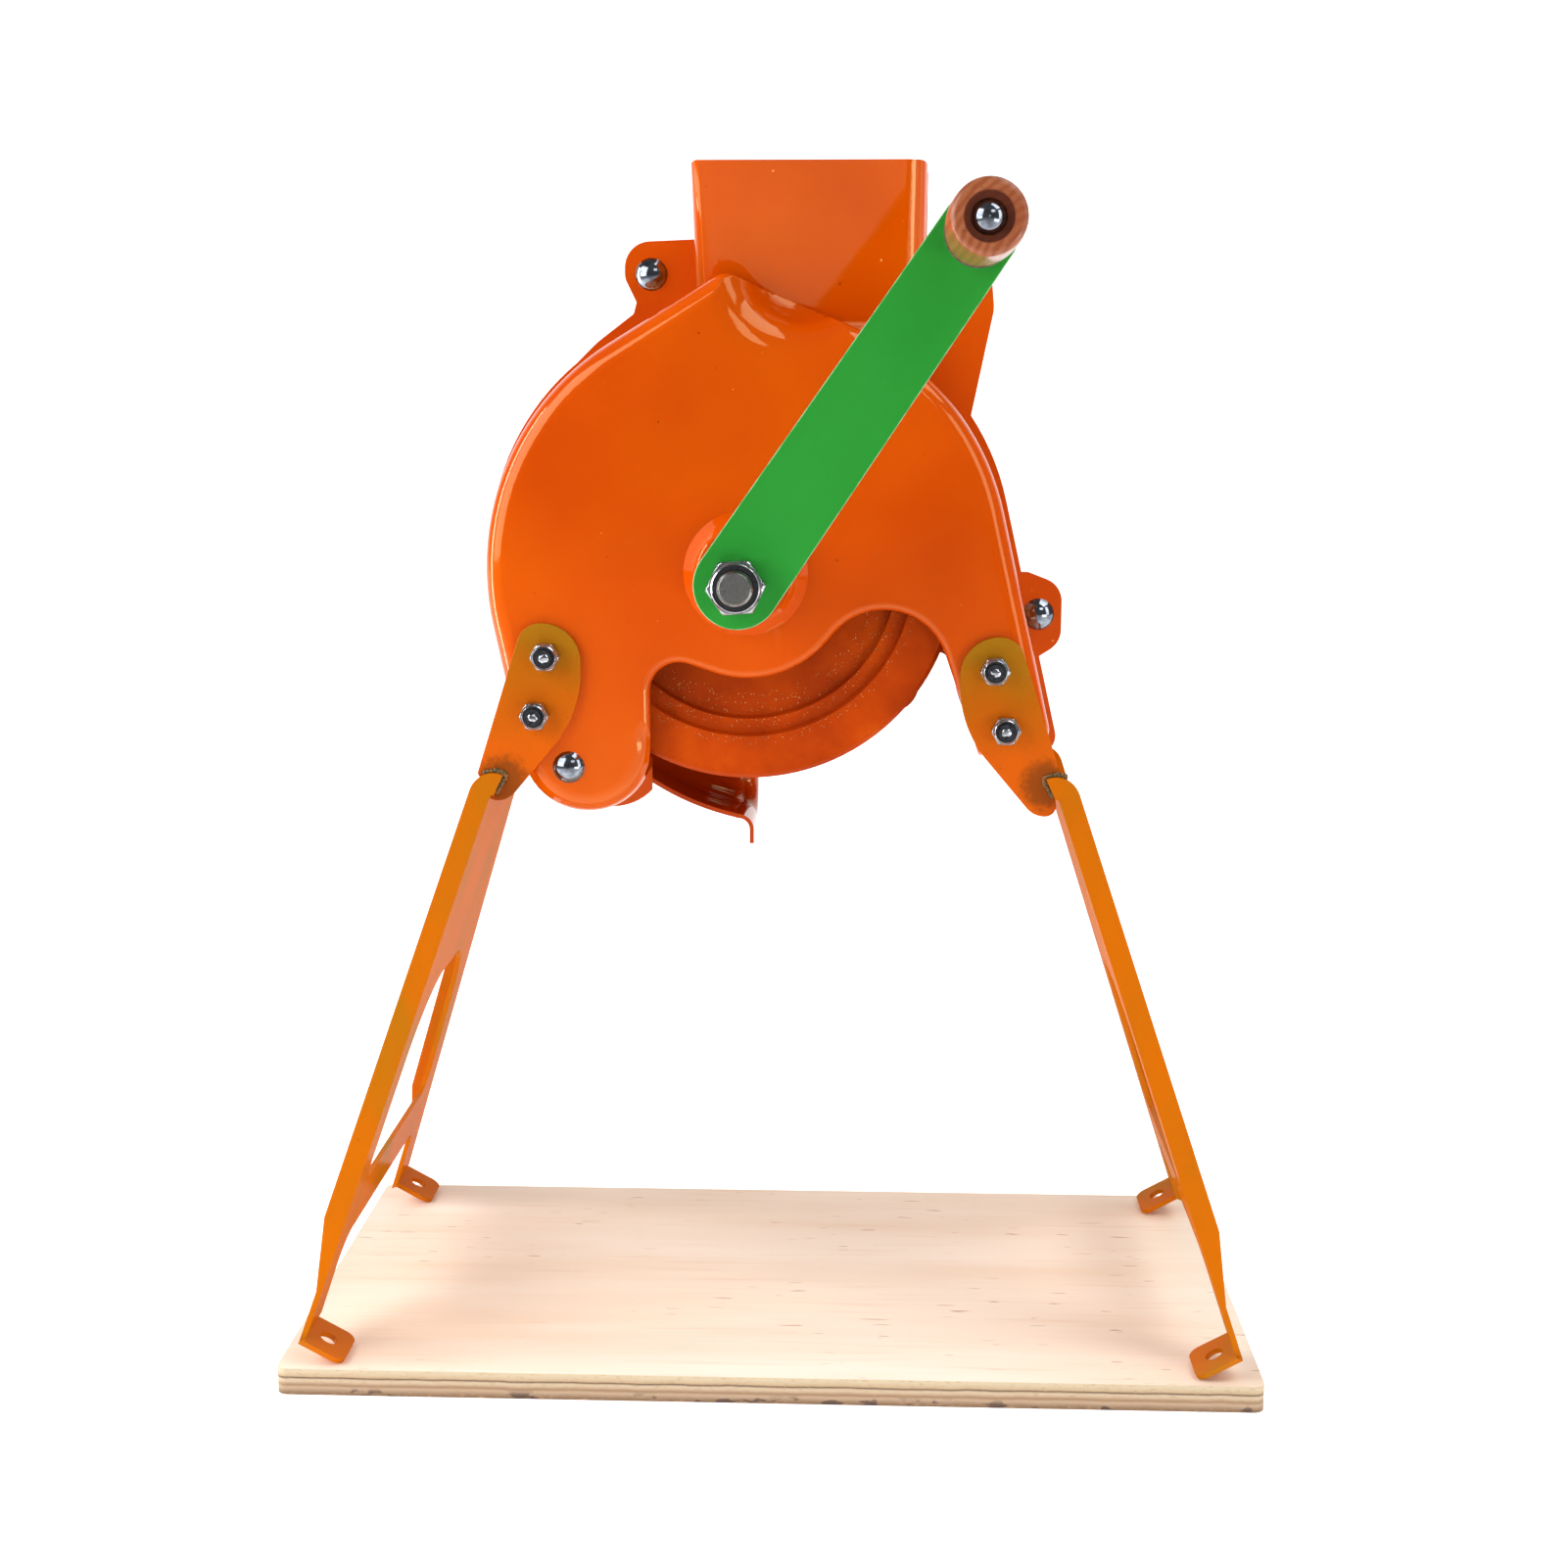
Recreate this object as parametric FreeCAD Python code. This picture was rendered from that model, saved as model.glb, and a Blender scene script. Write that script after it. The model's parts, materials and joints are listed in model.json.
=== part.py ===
"""Hand-cranked corn sheller on four sheet-metal legs, standing on a plywood board.

The origin is the middle of the board's underside. X runs to the right, Y to the back and Z up, in
millimetres. The housing is two pressed shells: the toothed disc turns in the front one, and the cob
passes behind the disc, between its teeth and a sprung pressure plate in the rear one.
"""
import FreeCAD, Part
import math
import os
from FreeCAD import Vector

# Plywood board
board_length = 360.0
board_depth = 188.0
board_thickness = 10.0
board_corner_radius = 4.0

# Housing: pressed shells round the shaft axis
axis_above_board = 286.4
shaft_offset = -10.3
housing_radius = 97.0
shell_sheet = 1.6
front_depth = 33.5
rear_depth = 33.5
channel_depth = 52.0
face_edge_radius = 8.0
rim_bead_radius = 3.0
rim_bead_depth = 4.5
flange_reach = 3.0

# Corners of both outlines: across, up and corner radius, as shares of the housing radius
front_outline_shares = [
    (-1.0, 0.560, 1.0),
    (-1.0, -0.112, 1.0),
    (-0.829, -0.933, 0.2526),
    (-0.366, -0.933, 0.2526),
    (-0.366, -0.612, 0.04),
    (0.64, -0.612, 0.04),
    (0.64, -0.706, 0.04),
    (1.190, -0.706, 0.103),
    (0.860, 0.722, 1.0),
    (-0.0835, 1.1216, 0.08),
]
# The rear shell's pan, to which the kernel trough is added at the lower left
rear_outline_shares = [
    (-1.0, 0.560, 1.0),
    (-1.0, -0.112, 1.0),
    (-0.829, -0.933, 0.2526),
    (-0.580, -0.933, 0.06),
    (-0.460, -0.660, 0.06),
    (0.2227, -0.660, 0.06),
    (0.4536, -0.371, 0.124),
    (0.7825, -0.371, 0.0412),
    (0.897, -0.706, 0.03),
    (1.190, -0.706, 0.103),
    (0.860, 0.722, 1.0),
    (-0.0835, 1.1216, 0.08),
]
# Lower opening of the front shell, through which the disc shows
opening_shares = [
    (-0.371, -1.25, 0.0),
    (1.0825, -1.25, 0.0),
    (0.6175, 0.107, 0.247),
    (0.133, -0.467, 0.402),
    (-0.371, -0.300, 0.1134),
]

# Kernel trough of the rear shell: where it ends, its bell-shaped lip and the zone without a flange
trough_shares = [
    (-0.5876, -0.733, 0.0),
    (-0.2835, -0.9515, 1.03),
    (0.0412, -1.035, 0.0),
    (0.0412, -0.887, 0.0),
    (0.268, -0.603, 0.0),
    (0.268, -0.450, 0.0),
    (-0.5876, -0.450, 0.0),
]
trough_end_share = -0.052
trough_head_share = -0.868
trough_edge_radius = 11.0
trough_lip_bend = 4.5
trough_lip_length = 10.0
trough_zone_shares = [
    (-0.530, -1.35, 0.0),
    (0.640, -1.35, 0.0),
    (0.640, -0.30, 0.0),
    (0.0, -0.65, 0.0),
    (-0.530, -0.65, 0.0),
]

# Chute
chute_width = 83.0
chute_centre = 23.0
chute_flare = 1.6
chute_flange_reach = 0.6
chute_corner_radius = 3.0
chute_left_edge_radius = 3.5
chute_top = 147.5
chute_foot = 60.0
chute_front_reach = 26.0
chute_rear_reach = 36.0
chute_edge_radius = 8.0
pocket_centre = 21.0
pocket_middle_height = 112.0
pocket_floor_radius = 7.0
pocket_rim_radius = 19.0
pocket_foot_radius = 15.0
pocket_throat_reach = 11.0
pocket_throat_height = 92.0

# Cob channel pressed into the rear shell
channel_outline_shares = [
    (0.134, -0.62, 0.10),
    (0.64, -0.62, 0.12),
    (0.80, -0.165, 0.12),
    (0.885, 0.10, 0.20),
    (0.65, 0.70, 0.05),
    (0.65, 0.95, 0.04),
    (0.134, 0.95, 0.04),
]
channel_foot_share = -0.66
channel_heel_share = -0.38
channel_shoulder_share = 0.66
channel_head_share = 0.95
chute_rear_neck = 47.0
chute_rear_neck_height = 92.0
rear_edge_radius = 4.0
rear_opening_shares = [
    (0.0412, -1.35, 0.0),
    (1.117, -1.35, 0.0),
    (0.7825, -0.371, 0.0412),
    (0.4536, -0.371, 0.124),
    (0.0412, -0.887, 0.031),
]

# Ears and rivets
rivet_shank_radius = 3.0
rivet_head_radius = 6.0
rivet_head_height = 3.2
rivet_back_height = 1.6
rivet_back_radius = 4.8
fit_gap = 0.1
ear_size = 12.0
left_ear_reach = 17.8
right_ear_reach = 33.8
side_ear_reach = 14.2
# Way to each ear's rivet as shares of its distance, and corners round the rivet as shares of the ear size
left_ear_way_share = (-0.3205, 0.9473)
right_ear_way_share = (0.6117, 0.7911)
side_ear_way_share = (0.9873, -0.1583)
left_ear_shares = [(2.30, -2.40, 0.0), (2.30, 1.10, 0.0), (-0.83, 0.97, 0.80), (-0.83, -0.12, 0.50),
                   (-0.475, -0.85, 0.10), (-0.57, -1.20, 0.15), (-1.75, -2.09, 3.0), (-2.96, -3.29, 0.0),
                   (-1.90, -3.90, 0.0)]
right_ear_shares = [(-2.5, -3.625, 0.0), (0.167, -4.29, 0.0), (0.917, -0.625, 1.0), (0.79, 0.79, 0.75),
                    (-2.5, 0.79, 0.0)]
side_ear_shares = [(-1.683, -1.49, 0.0), (-0.183, -1.49, 0.0), (0.733, -0.908, 0.75), (0.733, 0.925, 0.75),
                   (-0.35, 1.34, 0.0), (-1.683, 1.34, 0.0)]
lobe_rivet_share = (-0.685, -0.749)
stay_tube_radius = 6.5

# Boss and bushes
boss_base_radius = 23.0
boss_top_radius = 17.3
boss_height = 8.0
bush_radius = 10.5
bush_flange_radius = 14.0
bush_flange_thickness = 1.5
front_bush_length = 38.5
rear_bush_length = 6.5

# Shaft
shaft_radius = 7.0
running_clearance = 0.06
thread_radius = 6.0
shaft_overrun = 2.9
flat_half_width = 5.0
split_pin_radius = 1.5
split_pin_length = 20.0
washer_thickness = 1.2
thrust_washer_thickness = 2.3
washer_radius = 11.0
axial_play = 0.2

# Toothed disc
disc_rim_gap = 19.0
disc_front_reach = 24.0
disc_rear_reach = 8.0
disc_rim_width = 16.8
disc_step_width = 6.2
disc_step_depth = 3.0
disc_hub_radius = 14.0
disc_rear_hub_radius = 12.0
disc_edge = 1.5
tooth_base_radius = 3.2
tooth_tip_radius = 1.0
tooth_height = 5.0
tooth_rows = 5
tooth_first_row_radius = 33.0
tooth_rim_gap = 6.0
tooth_pitch = 24.0
disc_pin_radius = 2.0
disc_pin_reach = 10.0

# Crank arm and handle
arm_length = 143.2
arm_angle = 34.5
arm_thickness = 4.0
arm_shaft_radius = 15.2
arm_handle_radius = 13.4
arm_edge_radius = 0.5
crank_nut_flats = 18.0
crank_nut_height = 10.0
crank_nut_collar_height = 1.6
crank_insert_radius = 7.9
handle_washer_thickness = 1.0
handle_length = 60.3
handle_foot_radius = 11.5
handle_belly_radius = 12.5
handle_end_radius = 11.9
handle_edge_radius = 2.0
handle_recess_radius = 7.8
handle_recess_depth = 3.0
handle_pin_radius = 4.0
handle_head_radius = 5.6
handle_head_height = 3.6
handle_washer_radius = 12.0

# Brackets and their bolts
bracket_sheet = 2.5
bracket_outline_shares = [
    (0.997, -0.9225, 0.09),
    (1.090, -0.9225, 0.042),
    (1.075, -0.835, 0.0),
    (1.120, -0.835, 0.02),
    (0.928, -0.2362, 0.094),
    (0.709, -0.2362, 0.148),
    (0.709, -0.581, 0.45),
]
bolt_shares = [(0.8394, -0.3607), (0.8841, -0.5873)]
# The left pair of brackets sits a little further out and higher than the right pair
left_bracket_offset = 2.7
left_bracket_rise = 4.4
bolt_radius = 3.0
bolt_head_radius = 4.4
bolt_head_height = 3.0
bolt_head_standoff = 0.9
bolt_overrun = 1.2
nut_flats = 9.8
nut_turn = 30.0
nut_height = 6.0
nut_collar_height = 1.0
nut_insert_radius = 4.0

# Leg frames
leg_sheet = 2.0
leg_flange = 8.0
foot_end_margin = 7.3
hook_drop_share = 0.764
hook_spread_share = 1.0593
foot_side_margin = 2.6
leg_strip = 20.0
hook_bend_radius = 1.0
hook_turn = 115.0
window_head_share = 0.61
window_foot_share = 0.272
web_foot_share = 0.178
window_head_radius = 34.0
window_corner_radius = 8.0
arch_corner_radius = 12.0
flange_full_share = 0.235
flange_end_share = 0.12
heel_height = 8.7
tab_length = 17.9
tab_width = 21.8
tab_tilt = 29.0
tab_corner_radius = 4.5
tab_hole_radius = 3.4

# Pressure plate
plate_sheet = 3.0
plate_left = 17.0
plate_right = 58.0
hinge_back_gap = 12.0
hinge_height = 74.0
knuckle_radius = 4.5
hinge_pin_radius = 2.5
lug_thickness = 3.0
lug_half_height = 6.0
plate_face = 30.0
plate_bend_height = 42.0
plate_foot = 32.0
stud_height = 6.0
stud_across = 38.0
stud_radius = 3.0
stud_hole_radius = 4.6
stud_overrun = 5.0
stud_head_radius = 6.0
stud_head_height = 2.0
stud_washer_radius = 9.0
spring_radius = 6.4
spring_wire_radius = 0.9
spring_turns = 4
spring_end_gap = 0.3
wing_hub_radius = 4.4
wing_hub_foot_radius = 6.3
wing_hub_height = 8.0
wing_span = 26.0
wing_rise = 9.0
wing_thickness = 2.4

# Derived levels
board_top = board_thickness
axis_z = board_top + axis_above_board
overrun = housing_radius
ORIGIN = Vector(0, 0, 0)
ALONG_X = Vector(1, 0, 0)
ALONG_Y = Vector(0, 1, 0)
ALONG_Z = Vector(0, 0, 1)
HOUSING_SHIFT = Vector(shaft_offset, 0, axis_z)
MIDPLANE_SHIFT = Vector(0, 0, axis_z)
BOARD_SHIFT = Vector(0, 0, board_top)


def scaled(shares, size):
    """Turn a list of shares into lengths."""
    return [tuple(share * size for share in row) for row in shares]


def in_front_plane(y):
    """Place a flat point (across, up) at one depth."""
    return lambda a, b: Vector(a, y, b)


def in_side_plane(x):
    """Place a flat point (depth, up) at one distance to the side."""
    return lambda a, b: Vector(x, a, b)


def crossing(p, d, q, e):
    """Point where the line from p along d meets the line from q along e."""
    det = d[0] * e[1] - d[1] * e[0]
    run = ((q[0] - p[0]) * e[1] - (q[1] - p[1]) * e[0]) / det
    return (p[0] + d[0] * run, p[1] + d[1] * run)


def rounded_wire(corners, place, inset=0.0):
    """Closed wire round anticlockwise corners (across, up, radius), moved inwards by inset."""
    count = len(corners)
    directions = []
    starts = []
    for i in range(count):
        a = corners[i]
        b = corners[(i + 1) % count]
        length = math.hypot(b[0] - a[0], b[1] - a[1])
        d = ((b[0] - a[0]) / length, (b[1] - a[1]) / length)
        directions.append(d)
        starts.append((a[0] - d[1] * inset, a[1] + d[0] * inset))
    edges = []
    pieces = []
    for i in range(count):
        before = directions[i - 1]
        after = directions[i]
        corner = crossing(starts[i - 1], before, starts[i], after)
        turn = math.atan2(before[0] * after[1] - before[1] * after[0], before[0] * after[0] + before[1] * after[1])
        radius = corners[i][2]
        if radius > 0:
            radius = radius - math.copysign(inset, turn)
        pieces.append((corner, before, after, turn, max(radius, 0)))
    ends = []
    for corner, before, after, turn, radius in pieces:
        reach = radius * math.tan(abs(turn) / 2)
        first = (corner[0] - before[0] * reach, corner[1] - before[1] * reach)
        last = (corner[0] + after[0] * reach, corner[1] + after[1] * reach)
        side = math.copysign(radius, turn)
        centre = (first[0] - before[1] * side, first[1] + before[0] * side)
        away = math.hypot(corner[0] - centre[0], corner[1] - centre[1])
        middle = None
        if radius > 0:
            share = radius / away
            middle = (centre[0] + (corner[0] - centre[0]) * share, centre[1] + (corner[1] - centre[1]) * share)
        ends.append((first, middle, last))
    tiny = shell_sheet / 1000
    for i in range(count):
        first, middle, last = ends[i]
        if middle:
            edges.append(Part.Arc(place(*first), place(*middle), place(*last)).toShape())
        following = ends[(i + 1) % count][0]
        if math.hypot(following[0] - last[0], following[1] - last[1]) > tiny:
            edges.append(Part.LineSegment(place(*last), place(*following)).toShape())
    return Part.Wire(Part.__sortEdges__(edges))


def front_prism(corners, y_from, y_to, inset=0.0):
    """Solid with a rounded outline in the front view, between two depths."""
    face = Part.Face(rounded_wire(corners, in_front_plane(y_from), inset))
    return face.extrude(Vector(0, y_to - y_from, 0))


def side_prism(corners, x_from, x_to, inset=0.0):
    """Solid with a rounded outline in the side view (depth, up), between two widths."""
    face = Part.Face(rounded_wire(corners, in_side_plane(x_from), inset))
    return face.extrude(Vector(x_to - x_from, 0, 0))


def rod(radius, y_from, y_to, across=0.0, up=0.0):
    """Round bar along Y."""
    return Part.makeCylinder(radius, y_to - y_from, Vector(across, y_from, up), ALONG_Y)


def turned(profile, across=0.0, up=0.0):
    """Solid of revolution about a Y axis from points (radius, y)."""
    points = [Vector(across + radius, y, up) for radius, y in profile]
    face = Part.Face(Part.makePolygon(points + points[:1]))
    return face.revolve(Vector(across, 0, up), ALONG_Y, 360)


def hexagon(flats, y_from, y_to, across=0.0, up=0.0, turn=0.0):
    """Hexagonal bar along Y, one corner up when turn is zero."""
    corner = flats / math.sqrt(3)
    points = []
    for i in range(6):
        angle = math.radians(turn + 90 + 60 * i)
        points.append(Vector(across + corner * math.cos(angle), y_from, up + corner * math.sin(angle)))
    face = Part.Face(Part.makePolygon(points + points[:1]))
    return face.extrude(Vector(0, y_to - y_from, 0))


def domed_rivet(head_radius, head_height, shank_radius, y_front, y_back, back_radius, across, up):
    """Rivet along Y with a domed head at the front and a flat head at the back."""
    ball_radius = (head_radius * head_radius + head_height * head_height) / (2 * head_height)
    half_turn = math.asin(head_radius / ball_radius) / 2
    tip = Vector(0, y_front - head_height, 0)
    side = Vector(ball_radius * math.sin(half_turn), tip.y + ball_radius * (1 - math.cos(half_turn)), 0)
    rim = Vector(head_radius, y_front, 0)
    end = y_back + rivet_back_height
    points = [rim, Vector(shank_radius, y_front, 0), Vector(shank_radius, y_back, 0), Vector(back_radius, y_back, 0),
              Vector(back_radius, end, 0), Vector(0, end, 0), tip]
    lines = [Part.makeLine(points[i], points[i + 1]) for i in range(len(points) - 1)]
    face = Part.Face(Part.Wire([Part.Arc(tip, side, rim).toShape()] + lines))
    return moved(face.revolve(ORIGIN, ALONG_Y, 360), Vector(across, 0, up))


def edges_where(shape, test):
    """Edges of a shape whose middle point passes a test."""
    found = []
    for edge in shape.Edges:
        middle = edge.valueAt((edge.FirstParameter + edge.LastParameter) / 2)
        if test(middle):
            found.append(edge)
    return found


def joined(shapes):
    """Fuse shapes to one clean shape."""
    return shapes[0].fuse(shapes[1:]).removeSplitter()


def mirrored(shape):
    """Copy of a shape on the other side of the middle plane."""
    return shape.mirror(ORIGIN, ALONG_X)


def moved(shape, shift):
    """Copy of a shape at another place."""
    copy = shape.copy()
    copy.translate(shift)
    return copy


def ear(way, reach, shares):
    """Rivet place of an ear, and the ear's outline round it."""
    distance = housing_radius + reach
    spot = (way[0] * distance, way[1] * distance)
    return spot, [(spot[0] + a, spot[1] + b, radius) for a, b, radius in scaled(shares, ear_size)]


front_outline = scaled(front_outline_shares, housing_radius)
rear_outline = scaled(rear_outline_shares, housing_radius)
trough = scaled(trough_shares, housing_radius)
opening = scaled(opening_shares, housing_radius)
rear_opening = scaled(rear_opening_shares, housing_radius)
ears = [ear(left_ear_way_share, left_ear_reach, left_ear_shares),
        ear(right_ear_way_share, right_ear_reach, right_ear_shares),
        ear(side_ear_way_share, side_ear_reach, side_ear_shares)]
lobe_rivet = (lobe_rivet_share[0] * housing_radius, lobe_rivet_share[1] * housing_radius)
bolts = scaled(bolt_shares, housing_radius)
chute_left = chute_centre - chute_width / 2
chute_right = chute_centre + chute_width / 2
front_bush_nose = front_depth + boss_height + front_bush_length
arm_back = front_bush_nose + axial_play + thrust_washer_thickness
arm_face = arm_back + arm_thickness
shaft_front_end = arm_face + crank_nut_height + shaft_overrun
rear_bush_end = rear_depth + rear_bush_length
split_pin_place = rear_bush_end + axial_play + washer_thickness + split_pin_radius + fit_gap
shaft_rear_end = split_pin_place + split_pin_radius + shaft_overrun
leg_height = axis_above_board - hook_drop_share * housing_radius
leg_top_half_spread = hook_spread_share * housing_radius
leg_top_half_depth = front_depth + bracket_sheet + leg_sheet
leg_lean = (board_length / 2 - foot_end_margin - leg_top_half_spread) / leg_height
foot_half_depth = board_depth / 2 - foot_side_margin
hinge_reach = channel_depth - hinge_back_gap
lug_end = chute_rear_neck - shell_sheet / 4
stud_end = channel_depth + washer_thickness + wing_hub_height + stud_overrun
handle_across = arm_length * math.sin(math.radians(arm_angle))
handle_up = arm_length * math.cos(math.radians(arm_angle))
handle_foot = arm_face + handle_washer_thickness + axial_play
handle_end = handle_foot + handle_length
bush_seat = front_depth + boss_height - shell_sheet
disc_radius = housing_radius - disc_rim_gap
tooth_last_row_radius = disc_radius - tooth_rim_gap
hub_front = -bush_seat + bush_flange_thickness + axial_play
hub_back = rear_depth - shell_sheet - bush_flange_thickness - axial_play


def front_body(inset):
    """Pressed pan of the front shell, with a small bead round its lower opening."""
    face_y = -(front_depth - inset)
    pan = front_prism(front_outline, 0, face_y, inset)
    pan = pan.makeFillet(face_edge_radius - inset,
                         edges_where(pan, lambda p: abs(p.y - face_y) < shell_sheet / 4))
    far = 2 * overrun
    corner = opening[0]
    around = opening[2:]
    frame = [(-far, corner[1], 0), corner] + around[::-1] + [opening[1], (far, corner[1], 0), (far, far, 0),
                                                             (-far, far, 0)]
    frame = front_prism(frame, 0, face_y, inset)
    rim = edges_where(frame, lambda p: abs(p.y - face_y) < shell_sheet / 4 and abs(p.x) < overrun
                      and p.z > corner[1] + inset + shell_sheet and p.z < overrun)
    return pan.common(frame.makeFillet(rim_bead_radius - inset, rim))


def chute_sides(inset, top):
    """Front view of the chute, with sides that flare a little towards the mouth."""
    lean = chute_flare / (chute_top - chute_foot) * (top - chute_foot)
    return front_prism([(chute_left, chute_foot, 0), (chute_right, chute_foot, 0), (chute_right + lean / 2, top, 0),
                        (chute_left - lean, top, 0)], -overrun, overrun, inset)


def upright_edges(block, inset, top, depth, side):
    """Upright edges of a chute half at one side, deeper than a given depth."""
    return edges_where(block, lambda p: abs(p.y) > depth and chute_foot + inset < p.z < top - inset
                       and side * (p.x - chute_centre) > chute_width / 4)


def front_chute(inset):
    """Front half of the chute: a wall that leans out towards its mouth, with round upright edges."""
    top = chute_top + (overrun if inset > 0 else 0)
    slope = (chute_front_reach - pocket_throat_reach) / (chute_top - pocket_throat_height)
    head = chute_front_reach + slope * (top - chute_top) - inset
    neck = pocket_throat_reach - inset
    profile = [(0, chute_foot, 0), (0, top, 0), (-head, top, 0), (-neck, pocket_throat_height, 0),
               (-neck, chute_foot, 0)]
    block = side_prism(profile, chute_left - overrun, chute_right + overrun).common(chute_sides(inset, top))
    block = block.makeFillet(chute_edge_radius - inset, upright_edges(block, inset, top, neck / 2, 1))
    return block.makeFillet(chute_left_edge_radius - inset, upright_edges(block, inset, top, neck / 2, -1))


def front_pocket(inset):
    """Valley that leads the pan's face back into the chute's front wall in a soft S, grown by inset."""
    rim = pocket_rim_radius - inset
    foot = pocket_foot_radius + inset
    floor_y = -pocket_throat_reach + inset
    face_y = -front_depth + inset
    drop = rim + foot - (floor_y - face_y)
    run = math.sqrt((rim + foot) ** 2 - drop ** 2)
    turn = math.acos(drop / (rim + foot))
    low = (pocket_floor_radius, floor_y)
    high = (pocket_floor_radius + run, face_y)
    middle = (low[0] + foot * math.sin(turn), low[1] - foot * (1 - math.cos(turn)))
    low_bulge = (low[0] + foot * math.sin(turn / 2), low[1] - foot * (1 - math.cos(turn / 2)))
    high_bulge = (high[0] - rim * math.sin(turn / 2), high[1] + rim * (1 - math.cos(turn / 2)))

    def edges(place):
        front = -front_depth - overrun
        return [Part.makeLine(place(0, floor_y), place(*low)),
                Part.Arc(place(*low), place(*low_bulge), place(*middle)).toShape(),
                Part.Arc(place(*middle), place(*high_bulge), place(*high)).toShape(),
                Part.makeLine(place(*high), place(high[0], front)),
                Part.makeLine(place(high[0], front), place(0, front)),
                Part.makeLine(place(0, front), place(0, floor_y))]

    centre = Vector(pocket_centre, 0, pocket_middle_height)
    bowl = Part.Face(Part.Wire(edges(lambda r, y: Vector(r, y, 0)))).revolve(ORIGIN, ALONG_Y, 360)
    rise = Vector(0, 0, chute_top + overrun)
    right = Part.Face(Part.Wire(edges(lambda r, y: Vector(r, y, 0)))).extrude(rise)
    left = Part.Face(Part.Wire(edges(lambda r, y: Vector(-r, y, 0)))).extrude(rise)
    slope = (chute_front_reach - pocket_throat_reach) / (chute_top - pocket_throat_height)
    far = -front_depth - 2 * overrun
    base = chute_foot - overrun
    top = chute_top + 2 * overrun
    throat = -pocket_throat_reach + inset
    back = [(far, base, 0), (throat, base, 0), (throat, pocket_throat_height, 0),
            (throat - slope * (top - pocket_throat_height), top, 0), (far, top, 0)]
    space = side_prism(back[::-1], pocket_centre - 2 * overrun, pocket_centre + 2 * overrun)
    return moved(joined([bowl, right, left]), centre).common(space)


def front_form(inset):
    """Outside of the front shell when inset is zero, and its hollow when inset is the sheet."""
    form = joined([front_body(inset), front_chute(inset)])
    return form.cut(front_pocket(inset))


def rear_body(inset):
    """Pressed pan of the rear shell."""
    face_y = rear_depth - inset
    pan = front_prism(rear_outline, 0, face_y, inset)
    return pan.makeFillet(rear_edge_radius - inset,
                          edges_where(pan, lambda p: abs(p.y - face_y) < shell_sheet / 4))


def rear_trough(inset):
    """Gutter under the disc that leads the kernels out, with a wide round between bottom and back."""
    face_y = rear_depth - inset
    gutter = front_prism(trough, 0, face_y, inset)
    low = trough[0][1]
    end = trough[2][0] - inset - shell_sheet / 4
    return gutter.makeFillet(trough_edge_radius - inset, edges_where(
        gutter, lambda p: abs(p.y - face_y) < shell_sheet / 4 and p.z < low and p.x < end))


def rear_chute(inset):
    """Rear half of the chute, widening towards the cob channel."""
    top = chute_top + (overrun if inset > 0 else 0)
    slope = (chute_rear_neck - chute_rear_reach) / (chute_top - chute_rear_neck_height)
    head = chute_rear_reach - slope * (top - chute_top) - inset
    neck = chute_rear_neck - inset
    profile = [(0, chute_foot, 0), (neck, chute_foot, 0), (neck, chute_rear_neck_height, 0), (head, top, 0),
               (0, top, 0)]
    block = side_prism(profile, chute_left - overrun, chute_right + overrun).common(chute_sides(inset, top))
    upright = upright_edges(block, inset, top, head / 2, 1) + upright_edges(block, inset, top, head / 2, -1)
    return block.makeFillet(chute_edge_radius - inset, upright)


def rear_channel(inset):
    """Hollow hump behind the disc through which the cob passes."""
    outline = scaled(channel_outline_shares, housing_radius)
    foot = channel_foot_share * housing_radius
    heel = channel_heel_share * housing_radius
    shoulder = channel_shoulder_share * housing_radius
    head = channel_head_share * housing_radius
    back = channel_depth - inset
    step = rear_depth - inset
    side = [(0, foot, 0), (step, foot, 0), (back, heel, 0), (back, shoulder, 0), ((back + step) / 2, head, 0),
            (0, head, 0)]
    hump = front_prism(outline, 0, channel_depth + overrun, inset)
    return hump.common(side_prism(side, -overrun, overrun))


def rear_form(inset):
    """Outside of the rear shell when inset is zero, and its hollow when inset is the sheet."""
    return joined([rear_body(inset), rear_trough(inset), rear_chute(inset), rear_channel(inset)])


def flange_and_ears(outline, hollow, y_from, y_to):
    """Flat rim between the shells, with the three riveted ears."""
    pieces = [front_prism(outline, y_from, y_to, -flange_reach)]
    side = chute_sides(-chute_flange_reach, chute_top - chute_flange_reach)
    pieces.append(side.common(Part.makeBox(4 * overrun, y_to - y_from, 4 * overrun,
                                           Vector(-2 * overrun, y_from, -2 * overrun))))
    for spot, points in ears:
        pieces.append(front_prism(points, y_from, y_to))
    sheet = joined(pieces).cut(hollow)
    for spot, points in ears:
        sheet = sheet.cut(rod(rivet_shank_radius + fit_gap, y_from, y_to, spot[0], spot[1]))
    return sheet


def round_mouth(sheet):
    """Shell sheet with the corners of the chute's mouth rounded."""
    low = chute_top - 2 * chute_corner_radius
    left = chute_left - chute_flare - chute_flange_reach
    right = chute_right + chute_flare / 2 + chute_flange_reach
    far = 2 * overrun
    outline = [(-far, -far, 0), (far, -far, 0), (far, low, 0), (right, low, 0),
               (right, chute_top, chute_corner_radius), (left, chute_top, chute_corner_radius), (left, low, 0),
               (-far, low, 0)]
    return sheet.common(front_prism(outline, -far, far))


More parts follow.
